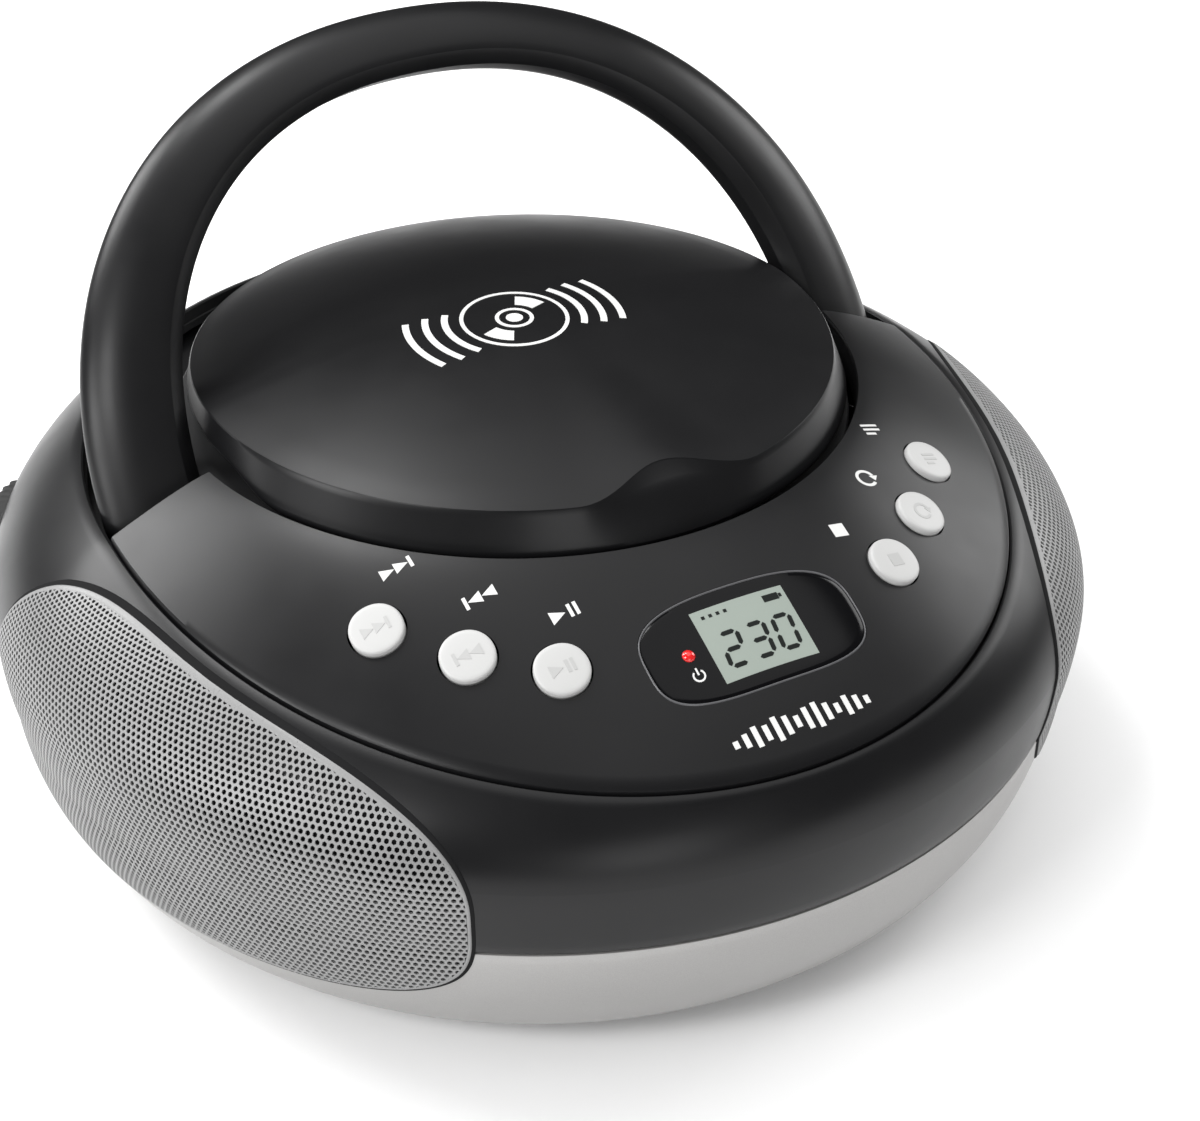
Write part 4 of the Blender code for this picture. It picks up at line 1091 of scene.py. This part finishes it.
class PLAYER_OT_display(bpy.types.Operator):
    """Glossy pill window, its light edge, the liquid crystal with its digits and the lamp"""

    bl_idname = "player.display"
    bl_label = "Display"

    def execute(self, context):
        paint = finishes()

        def slab(angle):
            return pill_section(angle, 0.0, (
                (0.0, -0.05), (0.3, -0.05), (0.6, -0.05), (0.8, -0.05), (0.92, -0.05),
                (0.985, -0.08), (1.0, -0.25), (1.0, -1.5), (0.0, -1.5)))

        window = ring_of("window", 144, slab)
        seat(window, "body", "window_black", paint["window black"], "display_window", angle=50.0)

        def lip(angle):
            loop = []
            for grow, rise in ((-0.05, -0.04), (-0.02, 0.05), (0.08, 0.09), (0.2, 0.05),
                               (0.28, -0.2), (-0.05, -0.3)):
                loop += pill_section(angle, grow, ((1.0, rise),))
            return loop

        edge = ring_of("window_edge", 144, lip)
        seat(edge, "body", "window_black", paint["window edge"], angle=60.0)
        lie = on_console(0.0, DISPLAY_Y, 0.0)
        half_x, half_y = LCD_X / 2.0, LCD_Y / 2.0

        def lifted(rise):
            return lambda u, v: Vector(lie(u, v)) + Vector((0.0, 0.0, rise))

        glass = flat_sign("crystal", [bar(LCD_X, LCD_Y)], lifted(0.0), 0.3, 6)
        seat(glass, "body", "lcd_glass", paint["liquid crystal"])
        marks = []
        for at, lit in ((-5.4, "abged"), (0.4, "abcdg"), (6.2, "abcdef")):
            marks += digit(at, -1.8, 3.7, 7.0, lit)
        marks += [bar(3.4, 1.5, half_x - 3.3, half_y - 2.0),
                  bar(0.6, 0.8, half_x - 1.2, half_y - 2.0)]
        marks += [bar(0.7, 0.7, -half_x + 2.2 + 1.6 * step, half_y - 1.8) for step in range(4)]
        ink = flat_sign("segments", marks, lifted(0.04), 0.06)
        seat(ink, "body", "lcd_glass", paint["segment ink"])
        lamp = turned("lamp", [(0.0, 0.62), (0.5, 0.56), (0.95, 0.36), (1.25, 0.05), (1.3, -0.6),
                               (0.0, -0.6)], 48, place=console_frame(LAMP_X, DISPLAY_Y))
        seat(lamp, "body", "lamp_red", paint["lamp red"], angle=60.0)
        sign = [arc_band(0.95, 1.3, 130.0, 410.0), bar(0.35, 1.5, 0.0, 0.9)]
        mark = flat_sign("lamp_sign", sign, on_console(LAMP_X, DISPLAY_Y - 3.9, 0.02))
        seat(mark, "body", "window_black", paint["print white"])
        return {"FINISHED"}


def digit(u, v, width, height, lit):
    """Lit bars of a seven-bar digit, leaning a little."""
    t = 0.95
    w, h = width / 2.0, height / 2.0
    bars = {
        "a": (0.0, h, True), "g": (0.0, 0.0, True), "d": (0.0, -h, True),
        "f": (-w, h / 2.0, False), "b": (w, h / 2.0, False),
        "e": (-w, -h / 2.0, False), "c": (w, -h / 2.0, False),
    }
    out = []
    for name in lit:
        x, y, flat = bars[name]
        if flat:
            reach = w - 0.35
            points = [(-reach, 0.0), (-reach + t / 2, t / 2), (reach - t / 2, t / 2), (reach, 0.0),
                      (reach - t / 2, -t / 2), (-reach + t / 2, -t / 2)]
        else:
            reach = h / 2.0 - 0.25
            points = [(0.0, -reach), (t / 2, -reach + t / 2), (t / 2, reach - t / 2), (0.0, reach),
                      (-t / 2, reach - t / 2), (-t / 2, -reach + t / 2)]
        out.append([(u + x + px + 0.1 * (y + py), v + y + py) for px, py in points])
    return out


class PLAYER_OT_print(bpy.types.Operator):
    """White printed signs: one beside each key, the disc sign on the lid, the sound bars"""

    bl_idname = "player.print"
    bl_label = "Print"

    def execute(self, context):
        white = finishes()["print white"]
        spots = {
            "play": (-31.5, -70.6), "back": (-44.0, -60.4), "next": (-54.5, -46.8),
            "stop": (29.5, -71.5), "repeat": (44.0, -60.2), "program": (54.6, -47.0),
        }
        for name, (x, y) in spots.items():
            sign = flat_sign("sign_" + name, scaled(key_sign(name), KEY_SIGN_SCALE),
                             on_console(x, y))
            seat(sign, "body", "button_grey", white)
        heights = (1.6, 3.0, 4.6, 3.4, 5.4, 4.2, 2.6, 4.8, 5.6, 3.8, 2.2, 4.4, 3.2, 1.8)
        bars = [bar(1.1, height, 2.2 * (i - 6.5), 0.0) for i, height in enumerate(heights)]
        place = on_console(0.0, -104.2, lean=0.8)
        seat(flat_sign("sound_bars", bars, place), "body", "button_grey", white)

        def on_dome(u, v):
            x, y = u - 3.0, v + 4.0
            return (x, y, dome_z(math.hypot(x, y - RIM_Y)) + PRINT_LIFT)

        disc = [round_line(9.6, 72), round_line(8.9, 72), round_line(3.4, 48), round_line(2.7, 48),
                round_line(1.5, 32)]
        disc += [arc_band(4.6, 7.7, 20.0, 62.0), arc_band(4.6, 7.7, 200.0, 242.0)]
        for step in range(3):
            near = 11.6 + 3.4 * step
            half = 34.0 - 5.0 * step
            disc.append(arc_band(near, near + 1.2, -half, half))
            disc.append(arc_band(near, near + 1.2, 180.0 - half, 180.0 + half))
        disc = scaled(disc, DISC_SIGN_SCALE)
        seat(flat_sign("disc_sign", disc, on_dome, 0.1, 3), "lid", "button_grey", white)
        return {"FINISHED"}


# ---------------------------------------------------------------- grilles


def grille_spot(turn, grow):
    """Angle and height of a point on the left grille's outline, grown by a length."""
    x, z = superellipse(turn, 1.0, 1.0, GRILLE_POWER)
    angle = math.radians(GRILLE_DEG) + (math.radians(GRILLE_HALF_DEG) + grow / BODY_R) * x
    top = seam_z(angle) - GRILLE_TOP_DROP + grow
    low = GRILLE_LOW_Z - grow
    return angle, (top + low) / 2.0 + (top - low) / 2.0 * z


def grille_depth(angle, height):
    """0 in the middle of the grille, 1 on its outline, more outside it."""
    x = (angle - math.radians(GRILLE_DEG)) / math.radians(GRILLE_HALF_DEG)
    top = seam_z(angle) - GRILLE_TOP_DROP
    z = (height - (top + GRILLE_LOW_Z) / 2.0) / ((top - GRILLE_LOW_Z) / 2.0)
    return (abs(x) ** GRILLE_POWER + abs(z) ** GRILLE_POWER) ** (1.0 / GRILLE_POWER)


def meridian():
    """Length along the grille's middle line at each height, from the bottom up."""
    angle = math.radians(GRILLE_DEG)
    table = [(0.0, MERIDIAN_LOW_Z)]
    for step in range(1, MERIDIAN_COUNT + 1):
        z = MERIDIAN_LOW_Z + MERIDIAN_STEP * step
        across = body_radius(angle, z) - body_radius(angle, z - MERIDIAN_STEP)
        table.append((table[-1][0] + math.hypot(MERIDIAN_STEP, across), z))
    return table


def on_ball(angle, height, rise, mirror):
    """A point raised off the side of the ball, mirrored for the right where mirror is -1."""
    x, y, z = polar(angle, body_radius(angle, height) + rise, height)
    return (mirror * x, y, z)


class PLAYER_OT_grilles(bpy.types.Operator):
    """Perforated speaker grilles with their plain edge and black surround"""

    bl_idname = "player.grilles"
    bl_label = "Grilles"

    def execute(self, context):
        paint = finishes()
        for mirror, side in ((1.0, "left"), (-1.0, "right")):
            sheet = self.perforated(context.scene.player_sizes, mirror)
            edge = self.edge(mirror)
            seat(join(side + "_mesh", [sheet, edge]), "body", "grille_silver",
                 paint["grille silver"], side + "_grille", angle=30.0)
            seat(self.surround(side, mirror), "body", "shell_black", paint["speaker paper"])
        return {"FINISHED"}

    def perforated(self, sizes, mirror):
        """Model one cell, repeat it both ways and wrap the sheet round the ball."""
        pitch = sizes.hole_pitch / MM
        row = pitch * math.sqrt(3.0) / 2.0
        deselect()
        bpy.ops.mesh.primitive_circle_add(vertices=6, radius=pitch / math.sqrt(3.0),
                                          fill_type="NGON", location=(0.0, 0.0, 0.0))
        sheet = bpy.context.object
        edit(sheet)
        bpy.ops.mesh.duplicate_move(TRANSFORM_OT_translate={"value": (pitch / 2.0, row, 0.0)})
        bpy.ops.mesh.select_all(action="SELECT")
        bpy.ops.mesh.inset(thickness=sizes.hole_bar / MM, use_individual=True)
        bpy.ops.mesh.delete(type="FACE")
        leave_edit()
        across = int(math.radians(GRILLE_HALF_DEG) * BODY_R * 2.0 / pitch) + 2
        table = meridian()
        length = table[-1][0]
        up = int(length / (2.0 * row)) + 1
        apply(sheet, "ARRAY", count=across, use_relative_offset=False, use_constant_offset=True,
              constant_offset_displace=(pitch, 0.0, 0.0))
        apply(sheet, "ARRAY", count=up, use_relative_offset=False, use_constant_offset=True,
              constant_offset_displace=(0.0, 2.0 * row, 0.0))
        shift = -pitch * across / 2.0
        centre = math.radians(GRILLE_DEG)

        def spot(u, v):
            share = min(max(v, 0.0), length - 0.001)
            low, high = 0, len(table) - 1
            while high - low > 1:
                middle = (low + high) // 2
                if table[middle][0] > share:
                    high = middle
                else:
                    low = middle
            part = (share - table[low][0]) / (table[high][0] - table[low][0])
            height = table[low][1] + part * (table[high][1] - table[low][1])
            return centre + (u + shift) / BODY_R, min(height, GRILLE_CEILING_Z)

        edit(sheet)
        bpy.ops.mesh.remove_doubles(threshold=0.01)
        bpy.ops.mesh.select_all(action="DESELECT")
        leave_edit()
        for face in sheet.data.polygons:
            angle, height = spot(face.center.x, face.center.y)
            face.select = grille_depth(angle, height) > 0.99
        bpy.ops.object.mode_set(mode="EDIT")
        bpy.ops.mesh.select_mode(type="FACE")
        bpy.ops.mesh.delete(type="FACE")
        leave_edit()
        for vert in sheet.data.vertices:
            angle, height = spot(vert.co.x, vert.co.y)
            fall = min(1.0, grille_depth(angle, height))
            radius = body_radius(angle, height) + GRILLE_RISE - GRILLE_RIM_FALL * fall ** 8
            x, y, z = polar(angle, radius, height)
            vert.co = Vector((mirror * x, y, z)) * MM
        edit(sheet)
        bpy.ops.mesh.normals_make_consistent(inside=False)
        leave_edit()
        middle = sheet.data.polygons[len(sheet.data.polygons) // 2]
        if middle.normal.dot(Vector((middle.center.x, middle.center.y, 0.0))) < 0.0:
            edit(sheet)
            bpy.ops.mesh.flip_normals()
            leave_edit()
        apply(sheet, "SOLIDIFY", thickness=GRILLE_THICK * MM, offset=-1.0)
        return sheet

    def edge(self, mirror):
        """Plain band round the holes."""
        def section(turn):
            loop = []
            for grow, rise in ((0.0, -0.4), (0.0, 0.3), (-0.12, 0.5), (-0.35, 0.62),
                               (-0.6, 0.6), (-0.7, 0.5), (-0.7, 0.1)):
                angle, height = grille_spot(turn, grow)
                loop.append(on_ball(angle, height, rise, mirror))
            return loop

        return ring_of("edge", 260, section)

    def surround(self, side, mirror):
        """Black bed behind the holes, which shows as a fine line round the grille."""
        centre = math.radians(GRILLE_DEG)
        middle = (seam_z(centre) - GRILLE_TOP_DROP + GRILLE_LOW_Z) / 2.0

        def section(turn):
            angle, height = grille_spot(turn, 0.7)
            loop = []
            for share, rise in ((0.0, 0.2), (0.25, 0.2), (0.5, 0.2), (0.75, 0.2), (0.93, 0.2),
                                (0.985, 0.35), (0.995, 0.3), (1.0, 0.05), (1.0, -0.5),
                                (0.75, -0.5), (0.5, -0.5), (0.25, -0.5), (0.0, -0.5)):
                a = centre + (angle - centre) * share
                h = middle + (height - middle) * share
                loop.append(on_ball(a, h, rise, mirror))
            return loop

        return ring_of(side + "_surround", 200, section)


# ---------------------------------------------------------------- side controls and back


class PLAYER_OT_wheels(bpy.types.Operator):
    """Ridged thumbwheels and the sliding source switch"""

    bl_idname = "player.wheels"
    bl_label = "Wheels and switch"

    def execute(self, context):
        paint = finishes()
        teeth = context.scene.player_sizes.wheel_teeth
        for name, degrees in (("volume", WHEEL_DEG), ("tuning", 180.0 - WHEEL_DEG)):
            x, y = plan_point(degrees, WHEEL_SEAT_R)

            def section(turn, x=x, y=y):
                wave = 0.5 + 0.5 * math.cos(teeth * turn)
                full = WHEEL_R - 0.75 * (1.0 - wave ** 0.6)
                loop = []
                for inset, z in ((8.0, WHEEL_Z[0]), (1.0, WHEEL_Z[0]), (0.3, WHEEL_Z[0] + 0.3),
                                 (0.0, WHEEL_Z[0] + 1.0), (0.0, WHEEL_Z[1] - 1.0),
                                 (0.3, WHEEL_Z[1] - 0.3), (1.0, WHEEL_Z[1]), (8.0, WHEEL_Z[1])):
                    r = full - inset if inset < 5.0 else 0.0
                    loop.append((x + r * math.cos(turn), y + r * math.sin(turn), z))
                return loop

            wheel = ring_of(name + "_knob", teeth * 8, section)
            seat(wheel, name, "rubber_black", paint["soft rubber"], name + "_wheel", angle=50.0)
        place = on_side(SWITCH_DEG, SWITCH_Z)
        parts = [block("knob", (-3.0, -1.9, -7.5), (3.0, 1.9, 1.0), place, 0.35)]
        for step in range(5):
            at = -2.2 + 1.1 * step
            parts.append(block("rib", (at - 0.25, -1.7, 0.8), (at + 0.25, 1.7, 1.6), place, 0.15))
        seat(join("switch_knob", parts), "selector", "button_grey", paint["key grey"],
             "source_switch")
        return {"FINISHED"}


class PLAYER_OT_underside(bpy.types.Operator):
    """Rubber feet, ribbed battery flap and cross-head case screws"""

    bl_idname = "player.underside"
    bl_label = "Underside"

    def execute(self, context):
        paint = finishes()
        for index, degrees in enumerate(FEET, 1):
            x, y = plan_point(degrees, FOOT_RING_R)
            foot = turned("rubber_foot_{}".format(index), [
                (0.0, 0.25), (4.2, 0.25), (4.6, 0.0), (6.2, 0.0), (6.8, 0.3), (7.0, 0.9),
                (7.0, BASE_Z - 0.3), (0.0, BASE_Z - 0.3)], 56, (x, y))
            seat(foot, "body", "rubber_black", paint["soft rubber"], "foot_{}".format(index))
        parts = [block("flap", (-53.0, 11.0, BASE_Z + 0.2), (53.0, 63.0, FLOOR_IN_Z), None, 0.3)]
        for step in range(7):
            at = 15.0 + 2.0 * step
            parts.append(block("rib", (-9.0, at - 0.5, BASE_Z), (9.0, at + 0.5, BASE_Z + 1.0), None,
                               0.2))
        seat(join("battery_flap_panel", parts), "battery_flap", "shell_silver",
             paint["bowl silver"], "battery_door")
        for index, degrees in enumerate(SCREWS, 1):
            x, y = plan_point(degrees, SCREW_RING_R)
            head = turned("screw_{}".format(index), [
                (0.0, 5.8), (2.2, 5.8), (2.6, 6.3), (2.6, 8.0), (1.5, 8.2), (1.5, 29.4),
                (0.9, 30.0), (0.0, 30.0)], 40, (x, y))
            at = Matrix.Translation(Vector((x, y, 0.0)))
            cut(head, [block("cross", (-1.7, -0.3, 4.0), (1.7, 0.3, 7.0), at),
                       block("cross", (-0.3, -1.7, 4.0), (0.3, 1.7, 7.0), at)])
            seat(head, "body", "steel", paint["plain steel"], "case_screw_{}".format(index))
        return {"FINISHED"}


class PLAYER_OT_inlet(bpy.types.Operator):
    """Mains inlet with its two pins"""

    bl_idname = "player.inlet"
    bl_label = "Mains inlet"

    def execute(self, context):
        paint = finishes()
        place = on_side(INLET_DEG, INLET_Z)
        housing = block("inlet_housing", (-11.0, -7.0, -20.0), (11.0, 7.0, -0.8), place, 0.5)

        def mouth(turn):
            u, v = superellipse(turn, 7.15, 4.2, 3.0)
            return [place @ Vector(point) for point in
                    ((0.0, 0.0, -14.0), (u, v, -14.0), (u, v, 3.0), (0.0, 0.0, 3.0))]

        cut(housing, [ring_of("mouth", 64, mouth)])
        seat(housing, "body", "inner_plastic", paint["inner black"], "mains_inlet")
        for side, word in ((-1.0, "left"), (1.0, "right")):
            at = place @ Matrix.Translation(Vector((side * 2.9, 0.0, 0.0)))
            pin = turned("inlet_pin_" + word, [(0.0, -14.2), (1.1, -14.2), (1.1, -5.0), (0.9, -4.3),
                                               (0.45, -3.9), (0.0, -3.8)], 32, place=at)
            seat(pin, "body", "steel", paint["plain steel"])
        return {"FINISHED"}


class PLAYER_OT_antenna(bpy.types.Operator):
    """Telescopic antenna on its turning knuckle"""

    bl_idname = "player.antenna"
    bl_label = "Antenna"

    def execute(self, context):
        paint = finishes()
        low, high = ANTENNA_X
        length = high - low
        knuckle = turned("knuckle", [
            (0.0, FACET_LOW_Z + 0.4), (3.2, FACET_LOW_Z + 0.4), (3.5, FACET_LOW_Z + 0.7),
            (3.5, ANTENNA_Z + 2.9), (3.0, ANTENNA_Z + 3.4), (0.0, ANTENNA_Z + 3.4)], 56,
            (low, ANTENNA_Y))
        cut(knuckle, [block("slot", (low - 9.0, ANTENNA_Y - 1.9, ANTENNA_Z - 3.4),
                            (low + 9.0, ANTENNA_Y + 1.9, ANTENNA_Z + 9.0))])
        seat(knuckle, "antenna_base", "inner_plastic", paint["inner black"], "antenna_knuckle")
        place = frame_at((low, ANTENNA_Y, ANTENNA_Z), (1.0, 0.0, 0.0), (0.0, 1.0, 0.0))
        eye = block("eye", (-1.5, -1.5, -2.4), (1.5, 1.5, 7.0), place, 0.4)
        barrel = turned("barrel", [
            (0.0, 5.2), (2.2, 5.2), (2.6, 5.7), (2.6, length - 3.6), (2.45, length - 3.0),
            (2.1, length - 3.0), (2.1, 9.0), (0.0, 9.0)], 48, place=place)
        seat(join("antenna_tube_1", [eye, barrel]), "antenna_lower", "antenna_chrome",
             paint["antenna chrome"], "antenna_outer")
        middle = turned("antenna_tube_2", [
            (0.0, 9.6), (1.8, 9.6), (1.8, length - 2.0), (1.7, length - 1.5),
            (1.2, length - 1.5), (1.2, 12.0), (0.0, 12.0)], 40, place=place)
        seat(middle, "antenna_mid", "antenna_chrome", paint["antenna chrome"], "antenna_middle")
        tip = turned("antenna_tube_3", [
            (0.0, 12.6), (0.9, 12.6), (0.9, length - 1.0), (2.2, length - 0.8),
            (2.6, length - 0.4), (2.6, length + 1.4), (2.2, length + 2.3), (1.2, length + 2.6),
            (0.0, length + 2.6)], 40, place=place)
        seat(tip, "antenna_end", "antenna_chrome", paint["antenna chrome"], "antenna_tip")
        return {"FINISHED"}


class PLAYER_OT_inside(bpy.types.Operator):
    """Turntable, and the finishes of the pieces that the case hides"""

    bl_idname = "player.inside"
    bl_label = "Inside"

    def execute(self, context):
        paint = finishes()
        rest = WELL_FLOOR_Z + 2.4
        table = turned("disc_table", [
            (0.0, 62.1), (1.0, 62.1), (1.0, rest - 2.0), (14.2, rest - 1.6), (14.5, rest - 1.3),
            (14.5, rest - 0.3), (14.2, rest), (12.6, rest), (12.4, rest - 0.25), (8.2, rest - 0.25),
            (8.0, rest), (7.4, rest), (7.2, rest + 1.2), (6.4, rest + 2.1), (3.0, rest + 2.8),
            (0.0, rest + 2.8)], 72, (0.0, RIM_Y))
        seat(table, "table", "inner_plastic", paint["inner black"], "turntable")
        wear = {
            "inner black": ("drive_chassis", "pickup_sled", "battery_tray"),
            "plain steel": ("speaker_basket_left", "speaker_basket_right", "speaker_magnet_left",
                            "speaker_magnet_right", "spindle_motor", "feed_motor", "guide_rod",
                            "lead_screw", "mains_transformer"),
            "speaker paper": ("speaker_cone_left", "speaker_cone_right"),
            "solder_mask": ("key_board_left", "key_board_right", "main_board"),
            "liquid crystal": ("lcd_module",),
            "lamp red": ("power_led",),
        }
        for finish, nodes in wear.items():
            for node in nodes:
                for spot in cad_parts[node].material_slots:
                    spot.material = paint[finish]
        return {"FINISHED"}


# ---------------------------------------------------------------- stage


class PLAYER_OT_stage(bpy.types.Operator):
    """Pale floor, soft studio lights and the camera"""

    bl_idname = "player.stage"
    bl_label = "Studio"

    def execute(self, context):
        studio = context.scene.player_stage
        deselect()
        bpy.ops.mesh.primitive_plane_add(size=8.0, location=(0.0, 0.0, 0.0))
        floor = bpy.context.object
        floor.name = "floor"
        made, tree, shader = new_material("studio floor")
        shader.inputs["Base Color"].default_value = (0.9, 0.9, 0.9, 1.0)
        shader.inputs["Roughness"].default_value = 0.7
        shader.inputs["Specular IOR Level"].default_value = 0.1
        floor.data.materials.append(made)
        self.world(context.scene)
        context.scene.view_settings.view_transform = "Standard"
        for name, where, size, power in (
                ("key_light", (-0.55, 0.75, 0.75), 0.5, studio.key_power),
                ("left_light", (-1.0, 0.0, 0.45), 0.35, studio.key_power * 0.45),
                ("top_light", (0.25, 0.1, 1.3), 1.1, studio.key_power * 0.55),
                ("glow_light", (-0.1, 0.62, 1.15), 0.34, studio.key_power * 0.55),
                ("shoulder_light", (-0.85, -0.3, 0.85), 0.28, studio.key_power * 0.4),
                ("right_light", (1.0, 0.1, 0.5), 0.45, studio.key_power * 0.4),
                ("front_light", (-0.2, -1.2, 0.35), 0.5, studio.key_power * 0.25)):
            self.lamp(name, where, size, power)
        self.camera(context.scene, studio)
        return {"FINISHED"}

    def world(self, scene):
        """White for the eye, a quieter grey for the light and the reflections."""
        scene.world = bpy.data.worlds.new("studio")
        scene.world.use_nodes = True
        tree = scene.world.node_tree
        tree.nodes.clear()
        output = tree.nodes.new("ShaderNodeOutputWorld")
        seen, felt, soft = [self.background(tree, strength) for strength in (1.0, 0.06, 0.7)]
        path = tree.nodes.new("ShaderNodeLightPath")
        lit = tree.nodes.new("ShaderNodeMixShader")
        mix = tree.nodes.new("ShaderNodeMixShader")
        tree.links.new(path.outputs["Is Diffuse Ray"], lit.inputs["Fac"])
        tree.links.new(felt, lit.inputs[1])
        tree.links.new(soft, lit.inputs[2])
        tree.links.new(path.outputs["Is Camera Ray"], mix.inputs["Fac"])
        tree.links.new(lit.outputs["Shader"], mix.inputs[1])
        tree.links.new(seen, mix.inputs[2])
        tree.links.new(mix.outputs["Shader"], output.inputs["Surface"])

    def background(self, tree, strength):
        """White background light of one strength."""
        node = tree.nodes.new("ShaderNodeBackground")
        node.inputs["Color"].default_value = (1.0, 1.0, 1.0, 1.0)
        node.inputs["Strength"].default_value = strength
        return node.outputs["Background"]

    def lamp(self, name, where, size, power):
        """A square soft light that looks at the player."""
        deselect()
        bpy.ops.object.light_add(type="AREA", location=where)
        lamp = bpy.context.object
        lamp.name = name
        lamp.data.shape = "SQUARE"
        lamp.data.size = size
        lamp.data.energy = power
        toward = Vector((0.0, 0.0, 0.06)) - Vector(where)
        lamp.rotation_euler = toward.to_track_quat("-Z", "Y").to_euler()

    def camera(self, scene, studio):
        """The camera looks down at the player's front left."""
        flat = studio.distance * math.cos(studio.elevation)
        target = Vector((0.0, -0.001, 0.05))
        place = target + Vector((flat * math.sin(studio.azimuth), -flat * math.cos(studio.azimuth),
                                 studio.distance * math.sin(studio.elevation)))
        deselect()
        bpy.ops.object.camera_add(location=place)
        camera = bpy.context.object
        camera.name = "camera"
        camera.rotation_euler = (target - place).to_track_quat("-Z", "Y").to_euler()
        camera.data.sensor_width = 36.0
        camera.data.lens = 61.3
        camera.data.shift_x = 0.0517
        camera.data.shift_y = -0.0246
        camera.data.clip_start = 0.01
        scene.camera = camera


class PLAYER_PT_panel(bpy.types.Panel):
    """Sidebar panel with every step"""

    bl_idname = "PLAYER_PT_panel"
    bl_label = "Disc player"
    bl_space_type = "VIEW_3D"
    bl_region_type = "UI"
    bl_category = "Disc player"

    def draw(self, context):
        column = self.layout.column()
        for group in (context.scene.player_finishes, context.scene.player_sizes,
                      context.scene.player_stage):
            for key in group.bl_rna.properties.keys():
                if key not in ("rna_type", "name"):
                    column.prop(group, key)
        for step in STEPS:
            column.operator(step.bl_idname)


GROUPS = (PlayerFinishes, PlayerSizes, PlayerStage)
STEPS = (PLAYER_OT_upper_shell, PLAYER_OT_lower_shell, PLAYER_OT_console, PLAYER_OT_channel,
         PLAYER_OT_lid, PLAYER_OT_hinges, PLAYER_OT_handle, PLAYER_OT_keys, PLAYER_OT_display,
         PLAYER_OT_print, PLAYER_OT_grilles, PLAYER_OT_wheels, PLAYER_OT_underside,
         PLAYER_OT_inlet, PLAYER_OT_antenna, PLAYER_OT_inside, PLAYER_OT_stage)


def register():
    """Register every class and its settings."""
    for made in GROUPS + STEPS + (PLAYER_PT_panel,):
        bpy.utils.register_class(made)
    bpy.types.Scene.player_finishes = bpy.props.PointerProperty(type=PlayerFinishes)
    bpy.types.Scene.player_sizes = bpy.props.PointerProperty(type=PlayerSizes)
    bpy.types.Scene.player_stage = bpy.props.PointerProperty(type=PlayerStage)


def unregister():
    """Take every class and setting away again."""
    del bpy.types.Scene.player_stage
    del bpy.types.Scene.player_sizes
    del bpy.types.Scene.player_finishes
    for made in reversed(GROUPS + STEPS + (PLAYER_PT_panel,)):
        bpy.utils.unregister_class(made)


def main():
    """Build the player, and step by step."""
    register()
    bpy.ops.player.upper_shell()
    bpy.ops.player.lower_shell()
    bpy.ops.player.console()
    bpy.ops.player.channel()
    bpy.ops.player.lid()
    bpy.ops.player.hinges()
    bpy.ops.player.handle()
    bpy.ops.player.keys()
    bpy.ops.player.display()
    bpy.ops.player.print()
    bpy.ops.player.grilles()
    bpy.ops.player.wheels()
    bpy.ops.player.underside()
    bpy.ops.player.inlet()
    bpy.ops.player.antenna()
    bpy.ops.player.inside()
    bpy.ops.player.stage()


if __name__ == "__main__":
    main()
